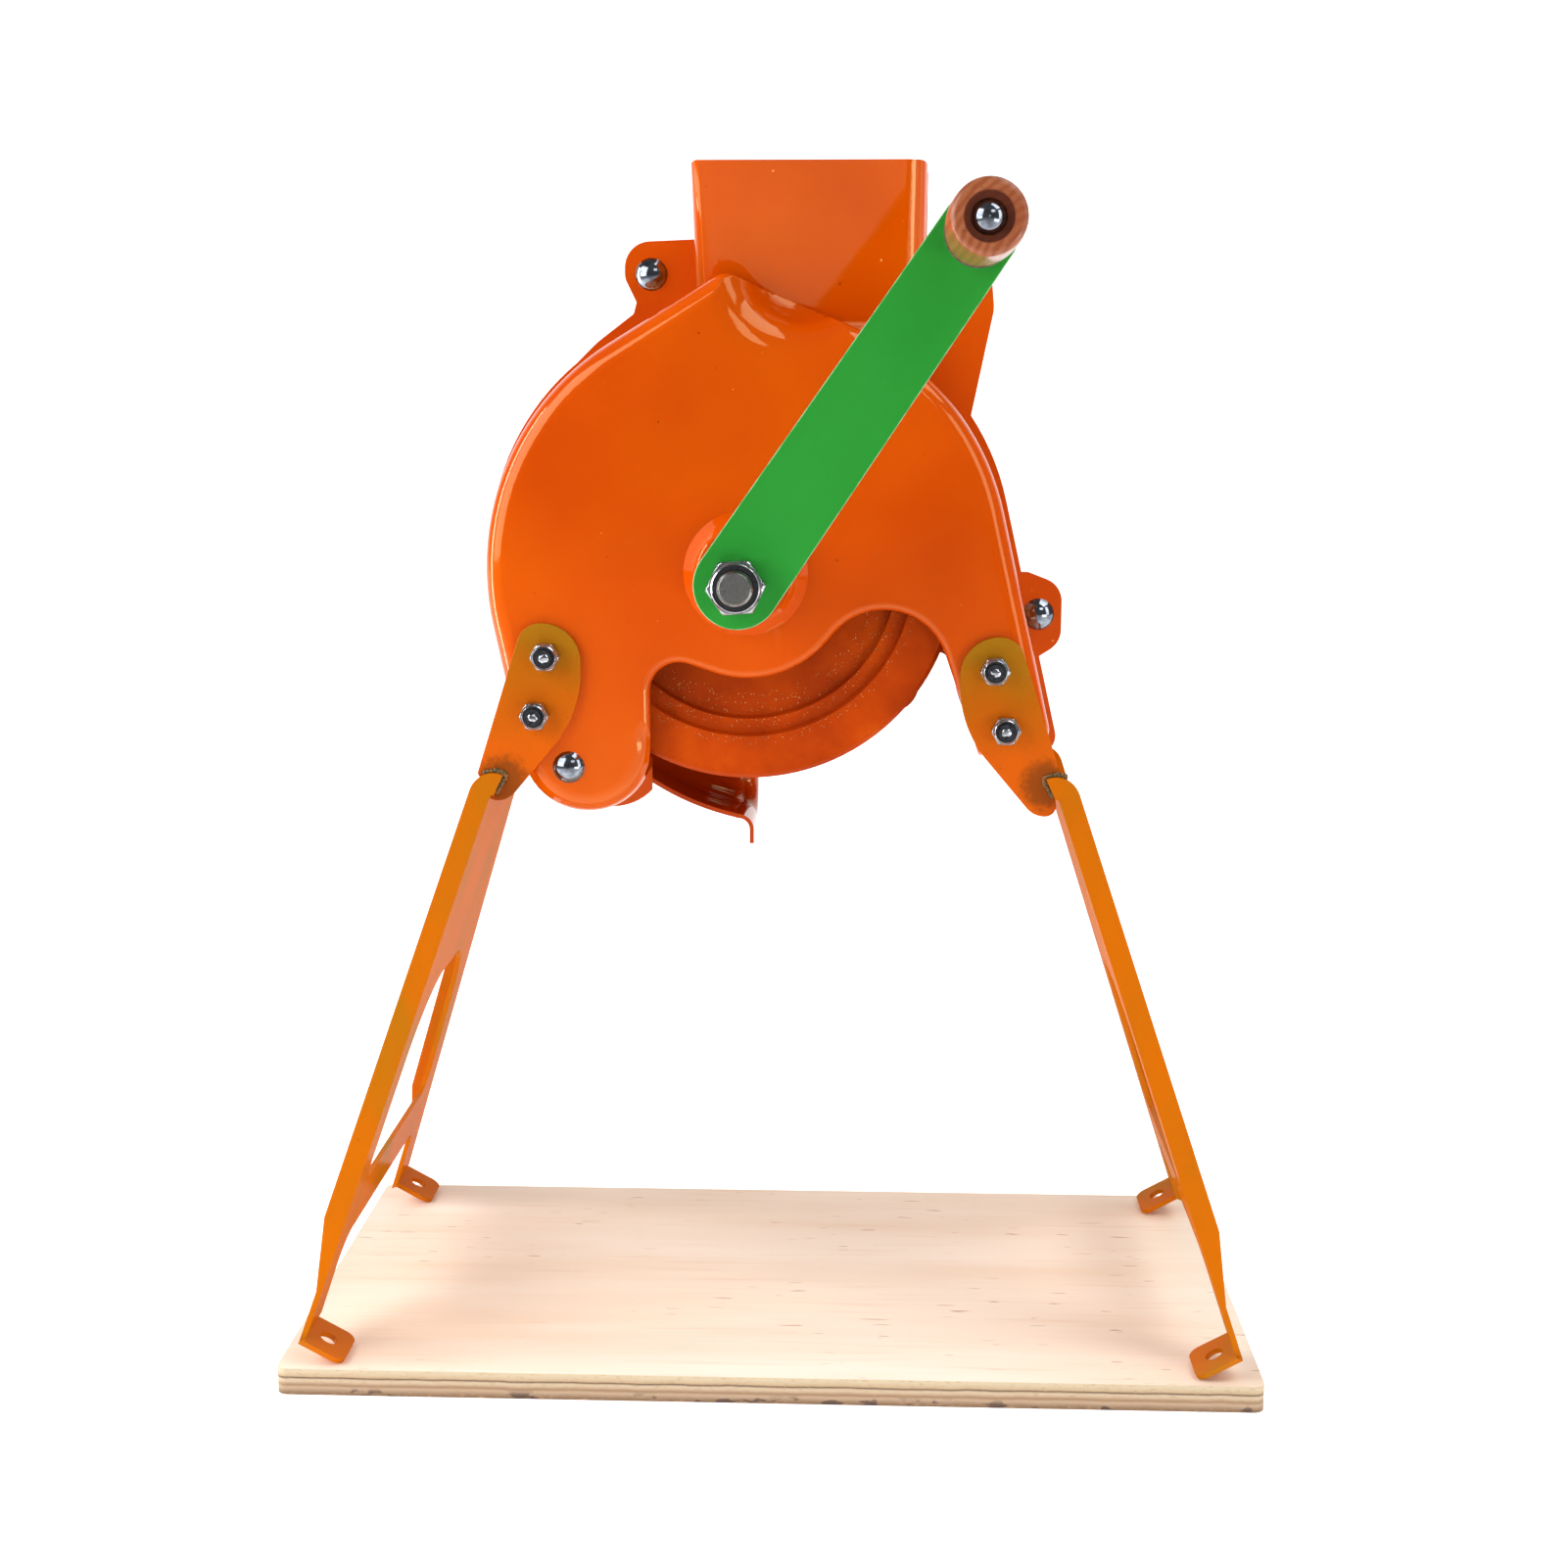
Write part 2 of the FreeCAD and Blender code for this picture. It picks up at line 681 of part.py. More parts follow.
def trough_lip():
    """Bell-shaped lip round the open end of the trough: under its bottom, round its corner and behind it."""
    end = trough_end_share * housing_radius
    slope = (trough[2][1] - trough[1][1]) / (trough[2][0] - trough[1][0])
    bottom = trough[1][1] + slope * (end - trough[1][0])
    bend = trough_lip_bend
    sheet = shell_sheet
    half = math.sqrt(0.5)

    def section(place):
        return Part.Face(Part.Wire([
            Part.Arc(place(0, 0), place(bend * half, bend * (1 - half)), place(bend, bend)).toShape(),
            Part.makeLine(place(bend, bend), place(bend, trough_lip_length)),
            Part.makeLine(place(bend, trough_lip_length), place(bend + sheet, trough_lip_length)),
            Part.makeLine(place(bend + sheet, trough_lip_length), place(bend + sheet, bend)),
            Part.Arc(place(bend + sheet, bend), place((bend + sheet) * half, bend - (bend + sheet) * half),
                     place(0, -sheet)).toShape(),
            Part.makeLine(place(0, -sheet), place(0, 0))]))

    corner_radius = trough_edge_radius - shell_sheet
    corner_y = rear_depth - corner_radius
    corner_up = bottom + corner_radius
    under = section(lambda a, d: Vector(end + a, 0, bottom - d)).extrude(Vector(0, corner_y, 0))
    start = section(lambda a, d: Vector(end + a, corner_y, bottom - d))
    around = start.revolve(Vector(0, corner_y, corner_up), ALONG_X, 90)
    head = trough_head_share * housing_radius
    lips = [under, around]
    if head > corner_up:
        behind = section(lambda a, d: Vector(end + a, rear_depth + d, corner_up))
        lips.append(behind.extrude(Vector(0, 0, head - corner_up)))
    return joined(lips)


def bolt_spots():
    """Bolt places in housing coordinates, both sides."""
    right = [(across - shaft_offset, up) for across, up in bolts]
    left = [(-across - left_bracket_offset - shaft_offset, up + left_bracket_rise) for across, up in bolts]
    return left + right


def front_shell():
    """Front shell: pan, chute front, boss, flange and ears."""
    hollow = front_form(shell_sheet)
    lip = front_depth - rim_bead_depth
    trim = front_prism(opening, -lip, shell_sheet, -shell_sheet - rim_bead_radius / 4)
    sheet = joined([front_form(0.0).cut(hollow), flange_and_ears(front_outline, hollow, -shell_sheet, 0)])
    face = front_depth
    boss = turned([(0, -face + shell_sheet), (boss_base_radius, -face + shell_sheet), (boss_base_radius, -face),
                   (boss_top_radius + shell_sheet, -face - boss_height + shell_sheet),
                   (boss_top_radius, -face - boss_height), (0, -face - boss_height)])
    dish = turned([(0, -face + shell_sheet), (boss_base_radius - shell_sheet, -face + shell_sheet),
                   (boss_top_radius, -face - boss_height + 2 * shell_sheet),
                   (boss_top_radius - shell_sheet, -bush_seat), (0, -bush_seat)])
    sheet = joined([sheet, boss]).cut([dish, trim, rod(bush_radius + fit_gap, -face - boss_height, 0)])
    for across, up in bolt_spots():
        sheet = sheet.cut(rod(bolt_radius + fit_gap, -face, 0, across, up))
    sheet = sheet.cut(rod(rivet_shank_radius + fit_gap, -face, 0, lobe_rivet[0], lobe_rivet[1]))
    return biggest(round_mouth(sheet))


def rear_shell():
    """Rear shell: pan with trough, chute back, cob channel, flange, ears and hinge lugs."""
    hollow = rear_form(shell_sheet)
    trim = front_prism(rear_opening, -shell_sheet, rear_depth - rim_bead_depth, -shell_sheet - rim_bead_radius / 4)
    zone = front_prism(scaled(trough_zone_shares, housing_radius), 0, shell_sheet)
    flange = flange_and_ears(rear_outline, hollow, 0, shell_sheet).cut(zone)
    sheet = joined([rear_form(0.0).cut(hollow), flange])
    end = trough_end_share * housing_radius
    sheet = sheet.cut(Part.makeBox(overrun, rear_depth, overrun + trough_head_share * housing_radius + overrun,
                                   Vector(end, 0, -2 * overrun)))
    sheet = joined([sheet, trough_lip()])
    sheet = sheet.cut([trim, rod(bush_radius + fit_gap, 0, rear_depth)])
    for across, up in bolt_spots():
        sheet = sheet.cut(rod(bolt_radius + fit_gap, 0, rear_depth, across, up))
    sheet = sheet.cut(rod(rivet_shank_radius + fit_gap, 0, rear_depth, lobe_rivet[0], lobe_rivet[1]))
    sheet = sheet.cut(rod(stud_hole_radius, plate_face, channel_depth + shell_sheet, stud_across, stud_height))
    lugs = [hinge_lug(plate_left - axial_play - lug_thickness), hinge_lug(plate_right + axial_play)]
    return biggest(round_mouth(joined([sheet] + lugs)))


def hinge_lug(left):
    """Plate standing on the channel wall that holds one end of the hinge pin."""
    front = hinge_reach - lug_half_height
    corners = [(front, hinge_height - lug_half_height, lug_half_height / 2),
               (lug_end, hinge_height - lug_half_height, 0), (lug_end, hinge_height + lug_half_height, 0),
               (front, hinge_height + lug_half_height, lug_half_height / 2)]
    lug = side_prism(corners, left, left + lug_thickness)
    hole = Part.makeCylinder(hinge_pin_radius + fit_gap, lug_thickness, Vector(left, hinge_reach, hinge_height),
                             ALONG_X)
    return lug.cut(hole)


def biggest(shape):
    """Largest solid of a shape, without trimmed-off crumbs."""
    return max(shape.Solids, key=lambda solid: solid.Volume)


def ear_rivets():
    """Three domed rivets through the ears of both shells."""
    rivets = []
    for spot, points in ears:
        rivets.append(domed_rivet(rivet_head_radius, rivet_head_height, rivet_shank_radius, -shell_sheet, shell_sheet,
                                  rivet_back_radius, spot[0], spot[1]))
    return Part.makeCompound(rivets)


def lower_stay_rivet():
    """Long rivet through the lobe of the front shell and the rear shell."""
    return domed_rivet(rivet_head_radius, rivet_head_height, rivet_shank_radius, -front_depth, rear_depth,
                       rivet_back_radius, lobe_rivet[0], lobe_rivet[1])


def lower_stay_tube():
    """Spacer tube round the long rivet between both shells."""
    across, up = lobe_rivet
    tube = rod(stay_tube_radius, -front_depth + shell_sheet, rear_depth - shell_sheet, across, up)
    return tube.cut(rod(rivet_shank_radius + fit_gap, -front_depth, rear_depth, across, up))


def front_bush():
    """Long front bearing tube of the shaft, held behind the boss by its flange."""
    tube = rod(bush_radius, -front_bush_nose, -bush_seat)
    flange = rod(bush_flange_radius, -bush_seat, -bush_seat + bush_flange_thickness)
    bore = rod(shaft_radius + running_clearance, -front_bush_nose, 0)
    return joined([tube, flange]).cut(bore)


def rear_bush():
    """Rear bearing tube of the shaft, with its flange inside the rear shell."""
    seat = rear_depth - shell_sheet
    tube = rod(bush_radius, seat, rear_bush_end)
    flange = rod(bush_flange_radius, seat - bush_flange_thickness, seat)
    bore = rod(shaft_radius + running_clearance, 0, rear_bush_end)
    return joined([tube, flange]).cut(bore)


def shaft_flats(half_width, y_from, y_to, radius):
    """Round bar with two flats that drives the crank arm."""
    bar = rod(radius, y_from, y_to)
    side = 2 * radius
    block = Part.makeBox(2 * half_width, y_to - y_from, 2 * side, Vector(-half_width, y_from, -side))
    return turned_about_shaft(bar.common(block))


def turned_about_shaft(shape):
    """Shape turned about the shaft axis to the angle of the crank arm."""
    copy = shape.copy()
    copy.rotate(ORIGIN, ALONG_Y, arm_angle)
    return copy


def main_shaft():
    """Crank shaft: full round in the bushes, flats in the arm, threaded end outside."""
    core = rod(shaft_radius, -arm_back, shaft_rear_end)
    core = core.makeChamfer(shaft_radius / 10, edges_where(core, lambda p: p.y > shaft_rear_end - fit_gap))
    flats = shaft_flats(flat_half_width, -arm_face, -arm_back, thread_radius)
    end = rod(thread_radius, -shaft_front_end, -arm_face)
    end = end.makeChamfer(thread_radius / 8, edges_where(end, lambda p: p.y < fit_gap - shaft_front_end))
    shaft = joined([core, flats, end])
    cross = Part.makeCylinder(split_pin_radius + fit_gap, 4 * shaft_radius,
                              Vector(0, split_pin_place, -2 * shaft_radius), ALONG_Z)
    hole = Part.makeCylinder(disc_pin_radius + fit_gap, 4 * shaft_radius,
                             Vector(0, disc_pin_reach, -2 * shaft_radius), ALONG_Z)
    return shaft.cut([cross, hole])


def toothed_disc():
    """Cast disc round its hub: stepped front face and rows of small teeth on the back."""
    front = -disc_front_reach
    back = -disc_rear_reach
    first = front + disc_step_depth
    second = first + disc_step_depth
    taper = disc_step_depth / 4
    step_outer = disc_radius - disc_rim_width
    step_inner = step_outer - disc_step_width
    disc = turned([
        (disc_hub_radius, second), (step_inner, second), (step_inner + taper, first), (step_outer, first),
        (step_outer + taper, front), (disc_radius - disc_edge, front), (disc_radius, front + disc_edge),
        (disc_radius, back - disc_edge), (disc_radius - disc_edge, back), (disc_hub_radius, back)])
    teeth = []
    for row in range(tooth_rows):
        share = row / (tooth_rows - 1)
        radius = tooth_first_row_radius + (tooth_last_row_radius - tooth_first_row_radius) * share
        count = int(2 * math.pi * radius / tooth_pitch)
        for i in range(count):
            angle = 2 * math.pi * (i + row / 2) / count
            root = Vector(radius * math.cos(angle), back, radius * math.sin(angle))
            teeth.append(Part.makeCone(tooth_base_radius, tooth_tip_radius, tooth_height, root, ALONG_Y))
    return joined([disc] + teeth)


def disc_hub():
    """Hub in the middle of the disc, between the flanges of both bushes."""
    hub = turned([(shaft_radius + fit_gap, hub_front), (disc_hub_radius, hub_front),
                  (disc_hub_radius, -disc_rear_reach), (disc_rear_hub_radius, -disc_rear_reach),
                  (disc_rear_hub_radius, hub_back), (shaft_radius + fit_gap, hub_back)])
    return hub.cut(Part.makeCylinder(disc_pin_radius + fit_gap, 4 * shaft_radius,
                                     Vector(0, disc_pin_reach, -2 * shaft_radius), ALONG_Z))


def disc_pin():
    """Cross pin through the rear hub of the disc and the shaft."""
    return Part.makeCylinder(disc_pin_radius, 2 * disc_rear_hub_radius,
                             Vector(0, disc_pin_reach, -disc_rear_hub_radius), ALONG_Z)


def ring(radius, bore, y_from, y_to, across=0.0, up=0.0):
    """Flat ring round a Y axis."""
    return rod(radius, y_from, y_to, across, up).cut(rod(bore, y_from, y_to, across, up))


def front_thrust_washer():
    """Spacer between the crank arm and the front bush."""
    return ring(washer_radius, shaft_radius + fit_gap, -arm_back, -front_bush_nose - axial_play)


def rear_washer():
    """Washer between the rear bush and the split pin."""
    start = rear_bush_end + axial_play
    return ring(washer_radius, shaft_radius + fit_gap, start, start + washer_thickness)


def rear_split_pin():
    """Pin through the rear end of the shaft."""
    return Part.makeCylinder(split_pin_radius, split_pin_length, Vector(0, split_pin_place, -split_pin_length / 2),
                             ALONG_Z)


def crank_arm():
    """Flat arm from the shaft flats to the handle rivet."""
    along = Vector(handle_across, 0, handle_up)
    tilt = math.asin((arm_shaft_radius - arm_handle_radius) / arm_length)
    corners = []
    for side in (-1, 1):
        turn = math.radians(90 - arm_angle) + side * (math.pi / 2 - tilt)
        near = Vector(arm_shaft_radius * math.cos(turn), 0, arm_shaft_radius * math.sin(turn))
        far = Vector(arm_handle_radius * math.cos(turn), 0, arm_handle_radius * math.sin(turn)).add(along)
        corners.append((near, far))
    points = [corners[0][0], corners[0][1], corners[1][1], corners[1][0]]
    middle = Part.Face(Part.makePolygon(points + points[:1])).extrude(Vector(0, arm_thickness, 0))
    shapes = [middle, rod(arm_shaft_radius, 0, arm_thickness),
              rod(arm_handle_radius, 0, arm_thickness, handle_across, handle_up)]
    arm = moved(joined(shapes), Vector(0, -arm_face, 0))
    rims = edges_where(arm, lambda p: abs(p.y + arm_face) < fit_gap or abs(p.y + arm_back) < fit_gap)
    arm = arm.makeFillet(arm_edge_radius, rims)
    hole = shaft_flats(flat_half_width + fit_gap, -arm_face, -arm_back, thread_radius + fit_gap)
    return arm.cut([hole, rod(handle_pin_radius + fit_gap, -arm_face, -arm_back, handle_across, handle_up)])


def lock_nut(flats, height, collar_height, bore, insert_radius, y_seat, direction, across, up, turn):
    """Hexagonal lock nut with a round collar, standing on a flat at y_seat."""
    top = y_seat + direction * height
    shoulder = top - direction * collar_height
    corner = flats / math.sqrt(3)
    cone_step = (corner - flats / 2) / 2
    hexa = hexagon(flats, min(y_seat, shoulder), max(y_seat, shoulder), across, up, turn)
    limit = turned([(0, y_seat), (corner, y_seat), (corner, shoulder - direction * cone_step),
                    (flats / 2, shoulder), (0, shoulder)], across, up)
    collar_radius = flats / 2 - collar_height / 4
    collar = turned([(0, shoulder), (collar_radius, shoulder), (collar_radius, top - direction * collar_height / 2),
                     (collar_radius - collar_height / 2, top), (0, top)], across, up)
    nut = joined([hexa.common(limit), collar])
    bore_rod = rod(bore, min(y_seat, top), max(y_seat, top), across, up)
    pocket = rod(insert_radius, min(top, shoulder - direction * collar_height),
                 max(top, shoulder - direction * collar_height), across, up)
    return nut.cut([bore_rod, pocket])


def lock_insert(collar_height, bore, insert_radius, y_top, direction, across, up):
    """Dark ring in the collar of a lock nut."""
    start = y_top - direction * 2 * collar_height
    end = y_top - direction * collar_height / 4
    return ring(insert_radius, bore, min(start, end), max(start, end), across, up)


def crank_nut():
    """Large lock nut that holds the arm on the shaft."""
    return lock_nut(crank_nut_flats, crank_nut_height, crank_nut_collar_height, thread_radius + fit_gap,
                    crank_insert_radius, -arm_face, -1, 0.0, 0.0, arm_angle)


def crank_nut_insert():
    """Locking ring of the large nut."""
    return lock_insert(crank_nut_collar_height, thread_radius + fit_gap, crank_insert_radius - fit_gap,
                       -arm_face - crank_nut_height, -1, 0.0, 0.0)


def handle_rivet():
    """Rivet on which the handle turns: domed head in the handle's recess, foot behind the arm."""
    seat = -handle_end + handle_recess_depth - axial_play
    return domed_rivet(handle_head_radius, handle_head_height, handle_pin_radius, seat, -arm_back, handle_head_radius,
                       handle_across, handle_up)


def handle_washer():
    """Washer between the arm and the handle."""
    return ring(handle_washer_radius, handle_pin_radius + fit_gap, -arm_face - handle_washer_thickness, -arm_face,
                handle_across, handle_up)


def wooden_handle():
    """Turned grip, slightly barrelled, with a round recess in its end."""
    foot = -handle_foot
    end = -handle_end
    floor = end + handle_recess_depth
    bore = handle_pin_radius + running_clearance
    points = [Vector(radius, y, 0) for radius, y in (
        (bore, foot), (handle_foot_radius, foot), (handle_end_radius, end), (handle_recess_radius, end),
        (handle_recess_radius, floor), (bore, floor))]
    belly = Part.Arc(points[1], Vector(handle_belly_radius, (foot + end) / 2, 0), points[2]).toShape()
    lines = [Part.makeLine(points[0], points[1]), belly]
    lines += [Part.makeLine(points[i], points[(i + 1) % 6]) for i in range(2, 6)]
    grip = Part.Face(Part.Wire(lines)).revolve(ORIGIN, ALONG_Y, 360)
    ends = edges_where(grip, lambda p: math.hypot(p.x, p.z) > handle_foot_radius - fit_gap
                       and (abs(p.y - end) < fit_gap or abs(p.y - foot) < fit_gap))
    grip = grip.makeFillet(handle_edge_radius, ends)
    return moved(grip, Vector(handle_across, 0, handle_up))


def leg_point(height):
    """Point (across, up) of the leg plate's inner face at a height above the board."""
    return (leg_top_half_spread + leg_lean * (leg_height - height), height)


def leg_side_profiles():
    """Outline faces of the leg plate and of its flange in the front view, at y zero."""
    lean = math.hypot(1, leg_lean)
    out = (1 / lean, leg_lean / lean)
    along = (-leg_lean / lean, 1 / lean)
    top = leg_point(leg_height - leg_flange - hook_bend_radius)
    centre = (top[0] - hook_bend_radius * out[0], top[1] - hook_bend_radius * out[1])
    start_angle = math.atan2(out[1], out[0])

    def offset(point, distance):
        return (point[0] + out[0] * distance, point[1] + out[1] * distance)

    def fan(width):
        inner = hook_bend_radius
        outer = hook_bend_radius + width
        angles = [start_angle, (start_angle + math.radians(hook_turn)) / 2, math.radians(hook_turn)]
        inside = [Vector(centre[0] + inner * math.cos(t), 0, centre[1] + inner * math.sin(t)) for t in angles]
        outside = [Vector(centre[0] + outer * math.cos(t), 0, centre[1] + outer * math.sin(t)) for t in angles]
        edges = [Part.Arc(*outside).toShape(), Part.makeLine(outside[2], inside[2]), Part.Arc(*inside).toShape(),
                 Part.makeLine(inside[0], outside[0])]
        return Part.Face(Part.Wire(Part.__sortEdges__(edges)))

    def strip(points):
        vectors = [Vector(a, 0, b) for a, b in points]
        return Part.Face(Part.makePolygon(vectors + vectors[:1]))

    tilt = math.radians(tab_tilt)
    inner_heel = leg_point(heel_height)
    heel = (inner_heel[0] + leg_sheet * lean, heel_height)
    tip = (heel[0] - tab_length * math.cos(tilt), heel[1] - tab_length * math.sin(tilt))
    tip_top = (tip[0] - leg_sheet * math.sin(tilt), tip[1] + leg_sheet * math.cos(tilt))
    bend = crossing(tip_top, (math.cos(tilt), math.sin(tilt)), inner_heel, along)
    drop = tip[1]
    plate = [heel, offset(top, leg_sheet), top, bend]
    tab = [heel, bend, tip_top, tip]
    full = leg_point(leg_height * flange_full_share)
    fade = leg_point(leg_height * flange_end_share)
    flange = [fade, offset(fade, leg_sheet), offset(full, leg_flange), offset(top, leg_flange), top]
    return strip(plate), fan(leg_sheet), strip(tab), strip(flange), fan(leg_flange), tip, tip_top, drop


def leg_depth_at(height):
    """Half depth of the A-shaped leg frame at a height above the board."""
    return leg_top_half_depth + (foot_half_depth - leg_top_half_depth) * (leg_height - height) / leg_height


def right_leg_frame():
    """Bent sheet leg frame: plate with window, flanges along both edges, hook on top and two foot tabs."""
    plate, hook, tab, flange, flange_hook, tip, tip_top, drop = leg_side_profiles()
    near = leg_top_half_spread / 2
    far = 2 * foot_half_depth + near
    low = -overrun / 2
    high = leg_height + overrun / 2
    edge = [(-leg_depth_at(low), low, 0), (leg_depth_at(low), low, 0), (leg_depth_at(high), high, 0),
            (-leg_depth_at(high), high, 0)]
    frame = side_prism(edge, near, far)
    core = side_prism([(y, z - leg_sheet if z < 0 else z + leg_sheet, r) for y, z, r in edge], near, far, leg_sheet)
    head = leg_height * window_head_share
    sill = leg_height * window_foot_share
    web = leg_height * web_foot_share
    window = [(-leg_depth_at(sill) + leg_strip, sill, window_corner_radius),
              (leg_depth_at(sill) - leg_strip, sill, window_corner_radius),
              (leg_depth_at(head) - leg_strip, head, window_head_radius),
              (-leg_depth_at(head) + leg_strip, head, window_head_radius)]
    arch = [(-foot_half_depth + tab_width, -leg_strip, 0), (foot_half_depth - tab_width, -leg_strip, 0),
            (leg_depth_at(web) - leg_strip, web, arch_corner_radius),
            (-leg_depth_at(web) + leg_strip, web, arch_corner_radius)]
    reach = Vector(0, 2 * foot_half_depth, 0)
    shift = Vector(0, -foot_half_depth, 0)

    def wide(face):
        return moved(face.extrude(reach), shift)

    sheet = joined([wide(plate), wide(hook)]).common(frame)
    sheet = sheet.cut([side_prism(window, near, far), side_prism(arch, near, far)])
    rims = joined([wide(flange), wide(flange_hook)]).common(frame.cut(core))
    tabs = []
    for side in (-1, 1):
        tabs.append(foot_tab(tab, tip, side))
    return moved(joined([sheet, rims] + tabs), Vector(0, 0, -drop))


def foot_tab(profile, tip, side):
    """Tilted foot tab with rounded tip corners and a hole."""
    outer = side * foot_half_depth
    inner = side * (foot_half_depth - tab_width)
    slab = moved(profile.extrude(Vector(0, tab_width, 0)), Vector(0, min(inner, outer), 0))
    middle = (inner + outer) / 2
    tilt = math.radians(tab_tilt)
    spine = (tip[0] + tab_length * math.cos(tilt) / 2, tip[1] + tab_length * math.sin(tilt) / 2)
    start = Vector(spine[0] + leg_sheet * 2 * math.sin(tilt), middle, spine[1] - leg_sheet * 2 * math.cos(tilt))
    hole = Part.makeCylinder(tab_hole_radius, 4 * leg_sheet, start, Vector(-math.sin(tilt), 0, math.cos(tilt)))
    corners = edges_where(slab, lambda p: abs(p.y - middle) > tab_width / 3
                          and math.hypot(p.x - tip[0], p.z - tip[1]) < leg_sheet)
    corners = [edge for edge in corners if edge.Length < leg_sheet + fit_gap]
    return slab.makeFillet(tab_corner_radius, corners).cut(hole)


def right_bracket(y_from, y_to, leg):
    """Right bracket plate between the housing face and the leg frame."""
    plate = front_prism(scaled(bracket_outline_shares, housing_radius), y_from, y_to)
    for across, up in bolts:
        plate = plate.cut(rod(bolt_radius + fit_gap, y_from, y_to, across, up))
    return biggest(moved(plate, MIDPLANE_SHIFT).cut(leg))


def left_bracket(y_from, y_to, leg):
    """Left bracket plate: the same plate turned over, a little further out and higher."""
    outline = [(-across, up, radius) for across, up, radius in scaled(bracket_outline_shares, housing_radius)]
    plate = front_prism(outline[::-1], y_from, y_to)
    for across, up in bolts:
        plate = plate.cut(rod(bolt_radius + fit_gap, y_from, y_to, -across, up))
    shift = Vector(-left_bracket_offset, 0, left_bracket_rise)
    return biggest(moved(plate, MIDPLANE_SHIFT + shift).cut(leg))


def bracket_bolts():
    """Eight bolts through the shells and brackets; their heads ride on the rounded edge inside."""
    shapes = []
    for across, up in bolt_spots():
        for side, face in ((-1, front_depth), (1, rear_depth)):
            seat = side * (face - shell_sheet - bolt_head_standoff)
            end = side * (face + bracket_sheet + nut_height + bolt_overrun)
            head = seat - side * bolt_head_height
            shank = rod(bolt_radius, min(seat, end), max(seat, end), across, up)
            knob = rod(bolt_head_radius, min(seat, head), max(seat, head), across, up)
            shapes.append(joined([shank, knob]))
    return Part.makeCompound(shapes)


def bracket_nuts():
    """Eight lock nuts outside the brackets."""
    shapes = []
    for across, up in bolt_spots():
        for side, face in ((-1, front_depth), (1, rear_depth)):
            shapes.append(lock_nut(nut_flats, nut_height, nut_collar_height, bolt_radius + fit_gap,
                                   nut_insert_radius, side * (face + bracket_sheet), side, across, up, nut_turn))
    return Part.makeCompound(shapes)


def bracket_nut_inserts():
    """Locking rings of the eight nuts."""
    shapes = []
    for across, up in bolt_spots():
        for side, face in ((-1, front_depth), (1, rear_depth)):
            top = side * (face + bracket_sheet + nut_height)
            shapes.append(lock_insert(nut_collar_height, bolt_radius + fit_gap, nut_insert_radius - fit_gap, top,
                                      side, across, up))
    return Part.makeCompound(shapes)


def pressure_plate():
    """Hinged plate that presses the cob against the teeth."""
    sheet = plate_sheet
    front = [(hinge_reach - knuckle_radius, hinge_height, 0), (plate_face, plate_bend_height, 0),
             (plate_face, -plate_foot, 0), (plate_face + sheet, -plate_foot, 0),
             (plate_face + sheet, plate_bend_height - sheet, 0), (hinge_reach - knuckle_radius + sheet, hinge_height, 0)]
    slab = side_prism(front, plate_left, plate_right)
    knuckle = Part.makeCylinder(knuckle_radius, plate_right - plate_left,
                                Vector(plate_left, hinge_reach, hinge_height), ALONG_X)
    bore = Part.makeCylinder(hinge_pin_radius + running_clearance, plate_right - plate_left,
                             Vector(plate_left, hinge_reach, hinge_height), ALONG_X)
    hole = rod(stud_radius + fit_gap, plate_face, plate_face + sheet, stud_across, stud_height)
    return joined([slab, knuckle]).cut([bore, hole])


def plate_hinge_pin():
    """Pin of the pressure plate in both lugs."""
    left = plate_left - axial_play - lug_thickness
    length = plate_right - plate_left + 2 * (axial_play + lug_thickness)
    return Part.makeCylinder(hinge_pin_radius, length, Vector(left, hinge_reach, hinge_height), ALONG_X)


def tension_stud():
    """Stud from the pressure plate out through the rear wall."""
    head = rod(stud_head_radius, plate_face - stud_head_height, plate_face, stud_across, stud_height)
    return joined([head, rod(stud_radius, plate_face, stud_end, stud_across, stud_height)])


def least_turn_gap(pitch):
    """Least distance between the wire surfaces of neighbouring spring turns, measured on points."""
    steps = 48
    points = []
    for i in range(spring_turns * steps + 1):
        angle = 2 * math.pi * i / steps
        points.append(Vector(spring_radius * math.cos(angle), spring_radius * math.sin(angle), pitch * i / steps))
    least = min(points[i].distanceToPoint(points[j]) for i in range(len(points))
                for j in range(i + steps // 2, len(points)))
    return least - 2 * spring_wire_radius


def bent_between(start, way, end):
    """Arc edge from a point along a direction to another point, and its direction at the end."""
    chord = end - start
    leg = chord.Length / 2
    half_turn = way.getAngle(chord)
    side = chord.cross(way).cross(chord).normalize()
    middle = (start + end) / 2 + side * (leg * math.tan(half_turn / 2))
    along = chord.normalize()
    return Part.Arc(start, middle, end).toShape(), along * (2 * along.dot(way)) - way


def spring_edges(pitch):
    """Tangent arcs, two for each quarter turn, along the spring's middle line."""
    edges = []
    slope = pitch / (2 * math.pi * spring_radius)
    places = []
    for i in range(4 * spring_turns + 1):
        angle = math.pi * i / 2
        point = Vector(spring_radius * math.cos(angle), spring_radius * math.sin(angle), pitch * i / 4)
        places.append((point, Vector(-math.sin(angle), math.cos(angle), slope).normalize()))
    for (start, way), (end, after) in zip(places, places[1:]):
        chord = end - start
        both = way + after
        spread = 2 * (1 - way.dot(after))
        pull = chord.dot(both)
        reach = (math.sqrt(pull * pull + spread * chord.dot(chord)) - pull) / spread
        joint = (start + end + (way - after) * reach) / 2
        first, turn = bent_between(start, way, joint)
        second, last = bent_between(joint, turn, end)
        edges += [first, second]
    return edges


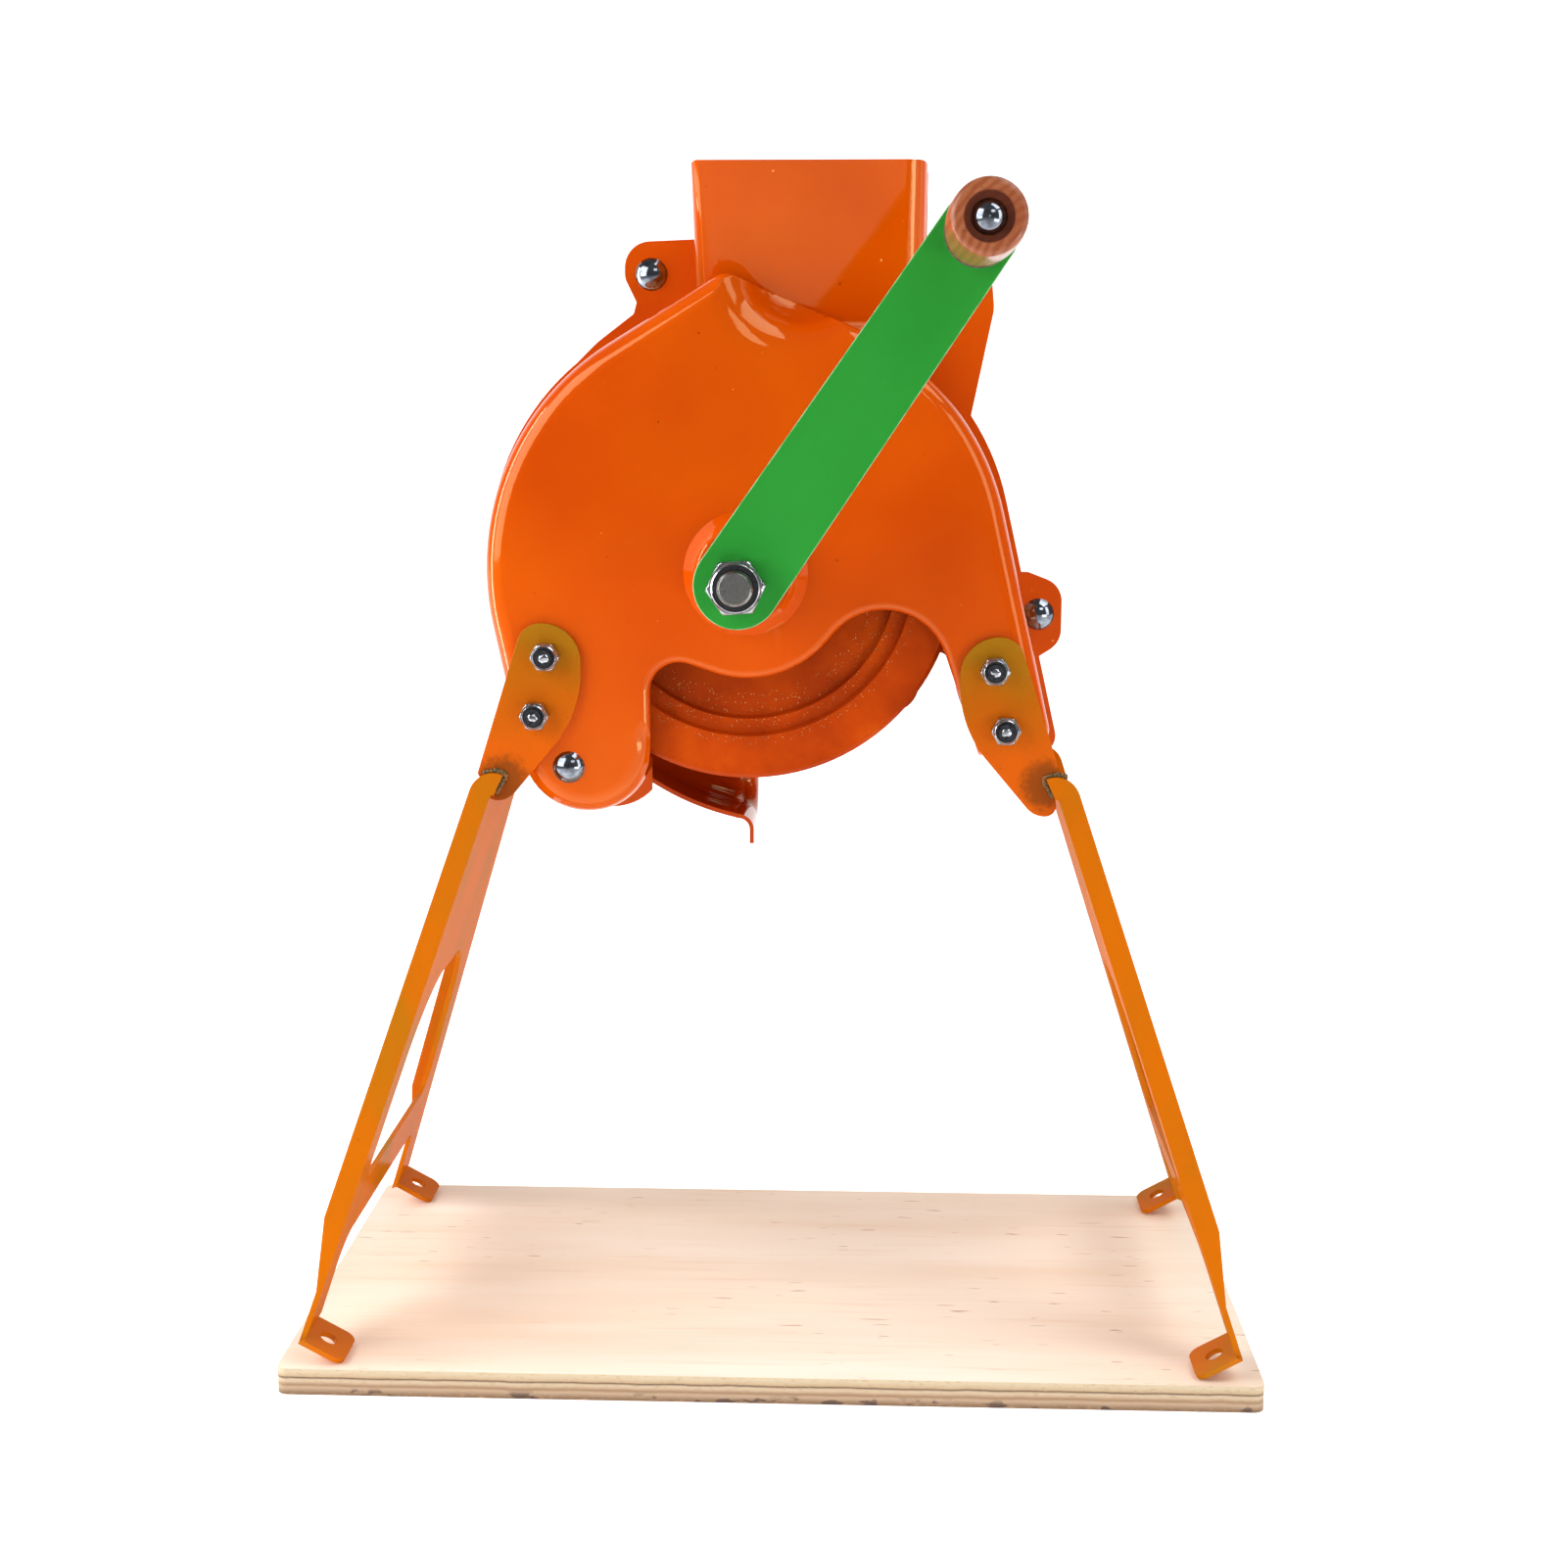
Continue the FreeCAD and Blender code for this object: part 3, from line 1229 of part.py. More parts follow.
def pressure_spring():
    """Coil spring round the stud between the plate and the rear wall."""
    start = plate_face + plate_sheet + spring_end_gap
    end = channel_depth - shell_sheet
    height = end - start - 2 * spring_wire_radius
    pitch = height / spring_turns
    print("least gap between spring turns", round(least_turn_gap(pitch), 3))
    line = Part.Wire(spring_edges(pitch))
    section = Part.Wire(Part.makeCircle(spring_wire_radius, Vector(spring_radius, 0, 0),
                                        line.Edges[0].tangentAt(line.Edges[0].FirstParameter)))
    coil = line.makePipeShell([section], True, False)
    coil.rotate(ORIGIN, ALONG_X, -90)
    return moved(coil, Vector(stud_across, start + spring_wire_radius, stud_height))


def stud_washer():
    """Washer under the wing nut."""
    return ring(stud_washer_radius, stud_radius + fit_gap, channel_depth, channel_depth + washer_thickness, stud_across,
                stud_height)


def wing_nut():
    """Wing nut that sets the pressure."""
    seat = channel_depth + washer_thickness
    hub = turned([(0, seat), (wing_hub_foot_radius, seat), (wing_hub_radius, seat + wing_hub_height),
                  (0, seat + wing_hub_height)])
    half = wing_thickness / 2
    shapes = [hub]
    for side in (-1, 1):
        points = [(0, seat + wing_thickness), (side * wing_span / 2, seat + wing_hub_height),
                  (side * wing_span / 2, seat + wing_hub_height + wing_rise / 2),
                  (side * wing_span / 3, seat + wing_hub_height + wing_rise / 2), (0, seat + wing_hub_height)]
        vectors = [Vector(a, b, -half) for a, b in points]
        shapes.append(Part.Face(Part.makePolygon(vectors + vectors[:1])).extrude(Vector(0, 0, wing_thickness)))
    bore = rod(stud_radius + running_clearance, seat, seat + 2 * wing_hub_height)
    return moved(joined(shapes).cut(bore), Vector(stud_across, 0, stud_height))


def base_board():
    """Plywood board with small round corners."""
    half = board_length / 2
    deep = board_depth / 2
    board = Part.makeBox(board_length, board_depth, board_thickness, Vector(-half, -deep, 0))
    upright = edges_where(board, lambda p: abs(abs(p.x) - half) < fit_gap and abs(abs(p.y) - deep) < fit_gap)
    return board.makeFillet(board_corner_radius, upright)


def write(name, shape, shift=ORIGIN):
    """Write one piece in the common frame."""
    moved(shape, shift).exportStep("parts/" + name + ".step")


def main():
    """Build every piece and write it."""
    os.makedirs("parts", exist_ok=True)
    leg = moved(right_leg_frame(), BOARD_SHIFT)
    front = (-front_depth - bracket_sheet, -front_depth)
    rear = (rear_depth, rear_depth + bracket_sheet)
    write("base_board", base_board())
    write("right_leg_frame", leg)
    write("left_leg_frame", mirrored(leg))
    write("front_right_bracket", right_bracket(*front, leg))
    write("rear_right_bracket", right_bracket(*rear, leg))
    write("front_left_bracket", left_bracket(*front, mirrored(leg)))
    write("rear_left_bracket", left_bracket(*rear, mirrored(leg)))
    for maker in (front_shell, rear_shell, ear_rivets, lower_stay_rivet, lower_stay_tube, bracket_bolts, bracket_nuts,
                  bracket_nut_inserts, front_bush, rear_bush, main_shaft, toothed_disc, disc_hub, disc_pin,
                  front_thrust_washer, rear_washer, rear_split_pin, crank_arm, crank_nut, crank_nut_insert,
                  handle_rivet, handle_washer, wooden_handle, pressure_plate, plate_hinge_pin, tension_stud,
                  pressure_spring, stud_washer, wing_nut):
        write(maker.__name__, maker(), HOUSING_SHIFT)


main()
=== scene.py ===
"""Looks of a hand-cranked corn sheller: paint, plating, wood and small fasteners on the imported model.

Lengths in the classes are millimetres in the model's own frame, with the origin at the middle of the
board's underside, X to the right, Y to the back and Z up. Meshes are made in metres.
"""

import json
import logging
import math
from dataclasses import dataclass, field
from enum import Enum
from typing import Any, Iterable, Sequence

import bmesh
import bpy
from mathutils import Matrix, Vector

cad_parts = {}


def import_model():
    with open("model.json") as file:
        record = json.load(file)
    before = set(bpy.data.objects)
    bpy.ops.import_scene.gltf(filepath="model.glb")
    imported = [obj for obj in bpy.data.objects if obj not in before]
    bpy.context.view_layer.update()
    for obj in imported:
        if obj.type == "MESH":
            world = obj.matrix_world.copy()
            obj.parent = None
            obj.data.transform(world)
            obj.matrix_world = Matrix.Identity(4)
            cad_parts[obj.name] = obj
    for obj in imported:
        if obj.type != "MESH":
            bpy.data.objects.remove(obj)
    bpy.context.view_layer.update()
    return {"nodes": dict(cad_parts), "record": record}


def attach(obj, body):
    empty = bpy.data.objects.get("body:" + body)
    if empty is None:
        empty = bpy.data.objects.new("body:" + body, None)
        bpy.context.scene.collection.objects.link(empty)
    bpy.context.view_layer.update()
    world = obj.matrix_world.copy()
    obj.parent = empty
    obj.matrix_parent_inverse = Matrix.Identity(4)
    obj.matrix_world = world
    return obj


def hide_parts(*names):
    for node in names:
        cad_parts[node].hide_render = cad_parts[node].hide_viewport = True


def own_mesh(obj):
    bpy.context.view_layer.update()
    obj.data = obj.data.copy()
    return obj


LOG = logging.getLogger("sheller")
MM = 0.001
Pair = tuple[float, float]
Point = tuple[float, float, float]
Stops = Sequence[tuple[float, str]]
Socket = bpy.types.NodeSocket


def linear(hex_colour: str) -> tuple[float, float, float, float]:
    """Turn an sRGB hex colour into a linear one.

    Args:
        hex_colour: six hex digits with a leading hash.

    Returns:
        Linear red, green, blue and an alpha of one.
    """
    parts = [int(hex_colour[i:i + 2], 16) / 255 for i in (1, 3, 5)]
    values = [c / 12.92 if c <= 0.04045 else ((c + 0.055) / 1.055) ** 2.4 for c in parts]
    return (values[0], values[1], values[2], 1.0)


def feed(tree: bpy.types.NodeTree, socket: Socket, value: Any) -> None:
    """Set an input's value or link it.

    Args:
        tree: tree that holds the input.
        socket: the input.
        value: its value, or the output socket to link.
    """
    if isinstance(value, Socket):
        tree.links.new(value, socket)
    else:
        socket.default_value = value


def add_node(tree: bpy.types.NodeTree, kind: str, settings: dict[str, Any] | None = None,
             inputs: dict[Any, Any] | None = None) -> bpy.types.Node:
    """Add a node with its settings, values and links.

    Args:
        tree: tree that gets the node.
        kind: the node's type name.
        settings: attribute values of the node.
        inputs: values, or output sockets to link, by input name or number.

    Returns:
        The new node.
    """
    node = tree.nodes.new(kind)
    for key, value in (settings or {}).items():
        setattr(node, key, value)
    for key, value in (inputs or {}).items():
        feed(tree, node.inputs[key], value)
    return node


def put(name: str, data: bpy.types.ID) -> bpy.types.Object:
    """Make an object, link it to the scene and return it."""
    thing = bpy.data.objects.new(name, data)
    bpy.context.scene.collection.objects.link(thing)
    return thing


class Paint:
    """A new material with the steps that paint on it, in object coordinates."""

    def __init__(self, name: str) -> None:
        """Make the material with its shader and its coordinates.

        Args:
            name: name of the material.
        """
        self.material = bpy.data.materials.new(name)
        self.material.use_nodes = True
        self.tree = self.material.node_tree
        self.shader = self.tree.nodes["Principled BSDF"]
        self.place = add_node(self.tree, "ShaderNodeTexCoord").outputs["Object"]

    def ramp(self, factor: Socket, stops: Stops) -> Socket:
        """Add a colour ramp.

        Args:
            factor: socket that drives it.
            stops: place and sRGB hex colour of each stop.

        Returns:
            The ramp's colour socket.
        """
        node = add_node(self.tree, "ShaderNodeValToRGB", inputs={"Fac": factor})
        band = node.color_ramp
        while len(band.elements) < len(stops):
            band.elements.new(0.5)
        for element, (place, colour) in zip(band.elements, stops):
            element.position = place
            element.color = linear(colour)
        return node.outputs["Color"]

    def span(self, value: Socket, low: float, high: float, to_low: float = 0.0,
             to_high: float = 1.0) -> Socket:
        """Map a value from one range to another, smoothly and clamped.

        Args:
            value: socket to map.
            low: start of the source range.
            high: end of the source range.
            to_low: result at the start.
            to_high: result at the end.

        Returns:
            The mapped value's socket.
        """
        return add_node(self.tree, "ShaderNodeMapRange", {"interpolation_type": "SMOOTHSTEP"}, {
            "Value": value, "From Min": low, "From Max": high, "To Min": to_low,
            "To Max": to_high}).outputs["Result"]

    def mix(self, share: Any, first: Any, second: Any) -> Socket:
        """Mix two colours.

        Args:
            share: share of the second colour, a number or a socket.
            first: first colour, linear or a socket.
            second: second colour, linear or a socket.

        Returns:
            The mixed colour's socket.
        """
        return add_node(self.tree, "ShaderNodeMix", {"data_type": "RGBA", "clamp_result": True}, {
            0: share, 6: first, 7: second}).outputs[2]

    def flecks(self, base: Any, colour: str, pattern: Socket, start: float, full: float,
               most: float) -> Socket:
        """Blend flecks of a colour into another one.

        Args:
            base: colour under the flecks.
            colour: sRGB hex colour of the flecks.
            pattern: value that decides where they lie.
            start: value where they begin to show.
            full: value where they show most.
            most: their greatest share.

        Returns:
            The mixed colour's socket.
        """
        return self.mix(self.span(pattern, start, full, 0.0, most), base, linear(colour))

    def noise(self, size_mm: float, detail: float = 3.0, stretch: Point = (1.0, 1.0, 1.0),
              roughness: float = 0.5) -> Socket:
        """Add a noise pattern.

        Args:
            size_mm: size of one feature.
            detail: number of finer octaves.
            stretch: how many times longer the features are along X, Y and Z.
            roughness: weight of the finer octaves.

        Returns:
            The noise value's socket.
        """
        scale = [1 / MM / (size_mm * along) for along in stretch]
        spread = add_node(self.tree, "ShaderNodeMapping", inputs={"Vector": self.place, "Scale": scale})
        return add_node(self.tree, "ShaderNodeTexNoise", inputs={
            "Vector": spread.outputs[0], "Scale": 1.0, "Detail": detail, "Roughness": roughness}).outputs["Fac"]

    def math(self, operation: str, *values: Any) -> Socket:
        """Join two or three values, numbers or sockets, by one operation."""
        return add_node(self.tree, "ShaderNodeMath", {"operation": operation}, dict(enumerate(values))).outputs[0]

    def along(self, axis: str) -> Socket:
        """Return one object coordinate, in metres."""
        return add_node(self.tree, "ShaderNodeSeparateXYZ", inputs={0: self.place}).outputs[axis]

    def facing(self, axis: str) -> Socket:
        """Return one component of the surface's normal."""
        normal = add_node(self.tree, "ShaderNodeNewGeometry").outputs["Normal"]
        return add_node(self.tree, "ShaderNodeSeparateXYZ", inputs={0: normal}).outputs[axis]

    def away(self, centre_mm: Pair) -> Socket:
        """Measure the distance from a line along Y.

        Args:
            centre_mm: X and Z of the line.

        Returns:
            The distance's socket, in metres.
        """
        flat = add_node(self.tree, "ShaderNodeCombineXYZ", inputs={0: self.along("X"), 2: self.along("Z")})
        return add_node(self.tree, "ShaderNodeVectorMath", {"operation": "DISTANCE"}, {
            0: flat.outputs[0], 1: (centre_mm[0] * MM, 0.0, centre_mm[1] * MM)}).outputs["Value"]

    def bump(self, height: Socket, depth_mm: float, strength: float = 1.0,
             under: Socket | None = None) -> Socket:
        """Add a bump from a height value.

        Args:
            height: height value from zero to one.
            depth_mm: height of a full step.
            strength: share of the bump that shows.
            under: normal of a coarser bump below it.

        Returns:
            The normal's socket.
        """
        inputs: dict[Any, Any] = {"Height": height, "Distance": depth_mm * MM, "Strength": strength}
        if under is not None:
            inputs["Normal"] = under
        return add_node(self.tree, "ShaderNodeBump", inputs=inputs).outputs["Normal"]

    def wire(self, **values: Any) -> None:
        """Set or link the shader's inputs, with underscores for the spaces in their names."""
        for key, value in values.items():
            feed(self.tree, self.shader.inputs[key.replace("_", " ")], value)


class Finish:
    """A surface finish that makes its own material once."""

    name: str = "finish"

    def build(self, paint: Paint) -> None:
        """Fill in the new material; each finish has its own way."""
        raise NotImplementedError

    def material(self) -> bpy.types.Material:
        """Return the finish's material, made at its first use."""
        found = bpy.data.materials.get(self.name)
        if found:
            return found
        paint = Paint(self.name)
        self.build(paint)
        return paint.material


@dataclass(frozen=True)
class SprayedEnamel(Finish):
    """Sprayed and baked enamel on pressed sheet: glossy, with a faint orange peel and a few dust nibs painted pale
    as their glints.

    The clear top gives sharp, warm reflections over a saturated colour, and the peel makes their borders
    ragged. Peel, nibs and pits are drawn coarser than they are, because their real size wouldn't show.
    """

    name: str = "sprayed enamel"
    colour: str = "#CC4A00"
    deep: str = "#C24200"
    warm: str = "#D45300"
    glint: str = "#FFEFA0"
    nib_glint: str = "#FFB060"
    pit: str = "#7A2600"
    cloud_mm: float = 70.0
    nib_mm: float = 2.6
    pit_mm: float = 3.1
    wave_mm: float = 24.0
    wave_depth_mm: float = 0.12
    peel_mm: float = 3.2
    peel_depth_mm: float = 0.035
    roughness: float = 0.07
    coat: float = 0.12
    coat_roughness: float = 0.04

    def build(self, paint: Paint) -> None:
        """Paint cloudy thick and thin spots, nibs with painted glints, pits and the peel.

        Args:
            paint: the new material.
        """
        cloud = paint.noise(self.cloud_mm, detail=2.0)
        base = paint.ramp(cloud, [(0.3, self.deep), (0.5, self.colour), (0.72, self.warm)])
        # The dust nibs are real; their pale peach colour is a painted glint.
        base = paint.flecks(base, self.nib_glint, paint.noise(self.nib_mm, detail=1.0), start=0.795, full=0.83, most=0.6)
        base = paint.flecks(base, self.pit, paint.noise(self.pit_mm, detail=1.0), start=0.205, full=0.17, most=0.7)
        waves = paint.bump(paint.noise(self.wave_mm, detail=1.0), self.wave_depth_mm, 0.6)
        normal = paint.bump(paint.noise(self.peel_mm, detail=2.0), self.peel_depth_mm, 0.7, under=waves)
        paint.wire(Base_Color=base, Roughness=self.roughness, Specular_Tint=linear(self.glint), IOR=1.5,
                   Normal=normal, Coat_Weight=self.coat, Coat_Roughness=self.coat_roughness, Coat_Normal=normal)


@dataclass(frozen=True)
class ThinOchrePaint(Finish):
    """The same orange sprayed thinly over raw steel: ochre and satin, with small dark chips.

    Dots and grain are drawn coarser than real ones, which wouldn't show.
    """

    name: str = "thin orange paint over steel"
    colour: str = "#C0640A"
    olive: str = "#A86A0E"
    rich: str = "#CA6606"
    dot: str = "#8A4A08"
    chip: str = "#4A2206"
    cloud_mm: float = 38.0
    dot_mm: float = 1.2
    chip_mm: float = 7.0
    grain_mm: float = 2.2
    grain_depth_mm: float = 0.03
    roughness: float = 0.36
    coat: float = 0.12

    def build(self, paint: Paint) -> None:
        """Mix the orange with olive patches, fine grain and chips.

        Args:
            paint: the new material.
        """
        cloud = paint.noise(self.cloud_mm, stretch=(1.0, 1.0, 2.0))
        base = paint.ramp(cloud, [(0.28, self.olive), (0.47, self.colour), (0.7, self.rich)])
        base = paint.flecks(base, self.dot, paint.noise(self.dot_mm, detail=2.0), start=0.66, full=0.80, most=0.4)
        chips = paint.noise(self.chip_mm, detail=4.0, stretch=(1.0, 1.0, 1.6), roughness=0.7)
        base = paint.flecks(base, self.chip, chips, start=0.735, full=0.755, most=0.85)
        grain = paint.bump(paint.noise(self.grain_mm, detail=2.0), self.grain_depth_mm, 0.6)
        paint.wire(Base_Color=base, Roughness=self.roughness, Normal=grain, Specular_IOR_Level=0.0, IOR=1.45,
                   Coat_Weight=self.coat, Coat_Roughness=0.12)


@dataclass(frozen=True)
class BracketPaint(Finish):
    """Thin orange paint on the bracket plates: olive at the upper end, burnt dark round the weld.

    Dots and grain are drawn coarser than real ones, which wouldn't show.
    """

    name: str = "thin orange paint, olive at the top"
    olive: str = "#9A6C0C"
    middle: str = "#B25B00"
    orange: str = "#CC5600"
    dot: str = "#6A3A06"
    burn: str = "#33220A"
    glint: str = "#FFE9A8"
    low_mm: float = 222.0
    high_mm: float = 282.0
    wander_mm: float = 24.0
    weld_mm: Pair = (101.0, 219.0)
    burn_edge_mm: float = 6.5
    burn_ragged_mm: float = 11.0
    burn_most: float = 0.6
    grain_mm: float = 2.0
    grain_depth_mm: float = 0.03

    def build(self, paint: Paint) -> None:
        """Fade from orange to olive upwards and scorch the paint beside the weld.

        Args:
            paint: the new material.
        """
        cloud = paint.noise(size_mm=16.0)
        wander = paint.math("MULTIPLY_ADD", cloud, self.wander_mm * MM, paint.along("Z"))
        low, high = ((edge + self.wander_mm / 2) * MM for edge in (self.low_mm, self.high_mm))
        fade = paint.span(wander, low, high)
        base = paint.ramp(fade, [(0.0, self.orange), (0.5, self.middle), (1.0, self.olive)])
        base = paint.flecks(base, self.dot, paint.noise(size_mm=1.1, detail=2.0), start=0.64, full=0.8, most=0.45)
        torn = paint.noise(size_mm=2.4, detail=4.0, roughness=0.7)
        ragged = paint.math("MULTIPLY_ADD", torn, -self.burn_ragged_mm * MM, paint.away(self.weld_mm))
        scorch = paint.span(ragged, 0.0, self.burn_edge_mm * MM, self.burn_most, 0.0)
        base = paint.mix(scorch, base, linear(self.burn))
        grain = paint.bump(paint.noise(self.grain_mm, detail=2.0), self.grain_depth_mm, 0.6)
        paint.wire(Base_Color=base, Roughness=0.36, Specular_IOR_Level=0.3, Specular_Tint=linear(self.glint),
                   IOR=1.45, Normal=grain, Coat_Weight=0.04, Coat_Roughness=0.12)


@dataclass(frozen=True)
class CastPaint(Finish):
    """Orange paint on a sand casting, its colours darker than the housing's as painted shade: satin and grainy,
    with sand that shows through.

    The grit is drawn coarser than moulding sand, which wouldn't show.
    """

    name: str = "paint on sand casting, darkened as shade"
    # All three colours are darker than the housing's enamel: painted shade on the disc behind the front shell.
    colour: str = "#B83E02"
    deep: str = "#982C02"
    light: str = "#C64C04"
    grain: str = "#4E1C04"
    sand: str = "#C98A4C"
    glint: str = "#FFE9A8"
    grit_mm: float = 1.2
    grit_depth_mm: float = 0.16
    roughness: float = 0.42

    def build(self, paint: Paint) -> None:
        """Mottle the colour and roughen the surface with sand grain.

        Args:
            paint: the new material.
        """
        cloud = paint.noise(size_mm=24.0, detail=4.0)
        base = paint.ramp(cloud, [(0.3, self.deep), (0.6, self.colour), (0.8, self.light)])
        grit = paint.noise(self.grit_mm, roughness=0.7)
        base = paint.flecks(base, self.grain, grit, start=0.60, full=0.72, most=0.5)
        base = paint.flecks(base, self.sand, grit, start=0.335, full=0.28, most=0.4)
        paint.wire(Base_Color=base, Roughness=self.roughness, Specular_IOR_Level=0.2, IOR=1.45,
                   Specular_Tint=linear(self.glint), Normal=paint.bump(grit, self.grit_depth_mm, 0.5))


@dataclass(frozen=True)
class WeldScale(Finish):
    """Burnt weld metal under overspray: brown-black with olive and rusty grains."""

    name: str = "painted weld bead"
    dark: str = "#2C1E0A"
    olive: str = "#5A4710"
    rust: str = "#A85A0E"
    grain_depth_mm: float = 0.15

    def build(self, paint: Paint) -> None:
        """Mottle the bead from black to rust.

        Args:
            paint: the new material.
        """
        grains = paint.noise(size_mm=1.0, roughness=0.7)
        base = paint.ramp(grains, [(0.35, self.dark), (0.52, self.olive), (0.7, self.rust)])
        paint.wire(Base_Color=base, Roughness=0.5, Normal=paint.bump(grains, self.grain_depth_mm, 0.5),
                   Coat_Weight=0.2, Coat_Roughness=0.2)


@dataclass(frozen=True)
class LooseSand(Finish):
    """Grains of moulding sand and thin paint along the edges of the casting: pale and dull."""

    name: str = "sand grains under paint"
    pale: str = "#D9A76C"
    brown: str = "#8A4A1C"

    def build(self, paint: Paint) -> None:
        """Give each grain its own tone between brown and pale."""
        tone = paint.noise(size_mm=1.6, detail=1.0)
        paint.wire(Base_Color=paint.ramp(tone, [(0.42, self.brown), (0.58, self.pale)]), Roughness=0.6)


@dataclass(frozen=True)
class ArmEnamel(Finish):
    """Green satin enamel on a flat bar, with a painted pale highlight along its cut edges."""

    name: str = "green satin enamel"
    colour: str = "#238A2A"
    light: str = "#289030"
    edge_highlight: str = "#A9C79E"
    peel_mm: float = 3.0
    peel_depth_mm: float = 0.02

    def build(self, paint: Paint) -> None:
        """Shade the green softly and paint a patchy pale highlight on the rounded edges that turn towards the
        front.

        Args:
            paint: the new material.
        """
        base = paint.ramp(paint.noise(size_mm=45.0, detail=2.0), [(0.3, self.colour), (0.7, self.light)])
        # Painted highlight: a patchy pale colour on the edges whose normals turn partly towards the front.
        tilt = paint.math("MULTIPLY", paint.facing("Y"), -1.0)
        edge = paint.math("MULTIPLY", paint.span(tilt, 0.25, 0.55), paint.span(tilt, 0.8, 0.97, 1.0, 0.0))
        patchy = paint.span(paint.noise(size_mm=4.0), 0.35, 0.6, 0.25, 0.8)
        base = paint.mix(paint.math("MULTIPLY", edge, patchy), base, linear(self.edge_highlight))
        peel = paint.bump(paint.noise(self.peel_mm, detail=2.0), self.peel_depth_mm, 0.5)
        paint.wire(Base_Color=base, Roughness=0.42, Specular_IOR_Level=0.2, IOR=1.45, Normal=peel,
                   Coat_Weight=0.1, Coat_Roughness=0.2)


@dataclass(frozen=True)
class PlatedSteel(Finish):
    """Zinc-plated or bare steel: a mirror or satin metal with grain that breaks up its reflections.

    The grain is drawn coarser than the real one, which wouldn't show.
    """

    name: str = "bright zinc plate"
    colour: str = "#C6C9CE"
    dull: str = "#8F949B"
    tone_mm: float = 3.5
    roughness: float = 0.14
    grain_mm: float = 0.8
    grain_depth_mm: float = 0.01

    def build(self, paint: Paint) -> None:
        """Vary tone and polish over the metal, with grain.

        Args:
            paint: the new material.
        """
        cloud = paint.noise(self.tone_mm)
        base = paint.ramp(cloud, [(0.3, self.dull), (0.6, self.colour)])
        rough = paint.span(cloud, 0.3, 0.7, self.roughness * 1.5, self.roughness * 0.8)
        grain = paint.noise(self.grain_mm, detail=2.0, roughness=0.65)
        paint.wire(Base_Color=base, Metallic=1.0, Roughness=rough,
                   Normal=paint.bump(grain, self.grain_depth_mm, 0.5))


@dataclass(frozen=True)
class NylonInsert(Finish):
    """Dark nylon ring in a lock nut: matt navy-black, slightly dusty."""

    name: str = "dark nylon ring"
    dark: str = "#08090C"
    dusty: str = "#23252B"

    def build(self, paint: Paint) -> None:
        """Mottle a near-black tone."""
        dust = paint.noise(size_mm=1.0)
        paint.wire(Base_Color=paint.ramp(dust, [(0.4, self.dark), (0.75, self.dusty)]), Roughness=0.5)


@dataclass(frozen=True)
class VarnishedBeech(Finish):
    """Turned beech with tinted varnish: pink-brown, soft grain along the grip, glossy.

    The pores are drawn coarser than real ones, which wouldn't show.
    """

    name: str = "varnished turned beech"
    light: str = "#A86440"
    dark: str = "#8A4424"
    pore: str = "#6B3018"
    recess_shade: str = "#6E3420"
    heart_mm: Pair = (92.0, 396.0)
    axis_mm: Pair = (70.8, 414.4)
    recess_radius_mm: float = 7.6
    recess_blur_mm: float = 0.8
    ring_mm: float = 2.6
    pore_mm: float = 0.8

    def build(self, paint: Paint) -> None:
        """Draw year rings round a heart beside the grip, fine pores, painted shade in the recess and the varnish.

        Args:
            paint: the new material.
        """
        heart = add_node(paint.tree, "ShaderNodeMapping", inputs={
            "Vector": paint.place, "Location": (-self.heart_mm[0] * MM, 0.0, -self.heart_mm[1] * MM)})
        squeezed = add_node(paint.tree, "ShaderNodeMapping", inputs={
            "Vector": heart.outputs[0], "Scale": (1.0, 0.05, 1.0)})
        # At scale one the texture's rings lie 0.314 m apart.
        rings = add_node(paint.tree, "ShaderNodeTexWave", {"wave_type": "RINGS", "rings_direction": "SPHERICAL"}, {
            "Vector": squeezed.outputs[0], "Scale": 0.314 / (self.ring_mm * MM), "Distortion": 2.0, "Detail": 2.0,
            "Detail Scale": 1.5})
        soft = paint.span(rings.outputs["Fac"], 0.1, 0.95, 0.15, 0.75)
        base = paint.mix(soft, linear(self.light), linear(self.dark))
        clouds = paint.noise(size_mm=12.0, detail=2.0, stretch=(1.0, 4.0, 1.0))
        base = paint.flecks(base, self.dark, clouds, start=0.45, full=0.7, most=0.4)
        pores = paint.noise(self.pore_mm, detail=2.0, stretch=(1.0, 12.0, 1.0))
        base = paint.flecks(base, self.pore, pores, start=0.60, full=0.72, most=0.4)
        # Painted shade: the wood inside the recess round the rivet is darkened.
        rim = self.recess_radius_mm * MM
        recess_shade_share = paint.span(paint.away(self.axis_mm), rim, rim + self.recess_blur_mm * MM, 0.85, 0.0)
        base = paint.mix(recess_shade_share, base, linear(self.recess_shade))
        paint.wire(Base_Color=base, Roughness=0.4, Specular_IOR_Level=0.2, IOR=1.45,
                   Normal=paint.bump(pores, 0.04, 0.3), Coat_Weight=0.5, Coat_Roughness=0.12)


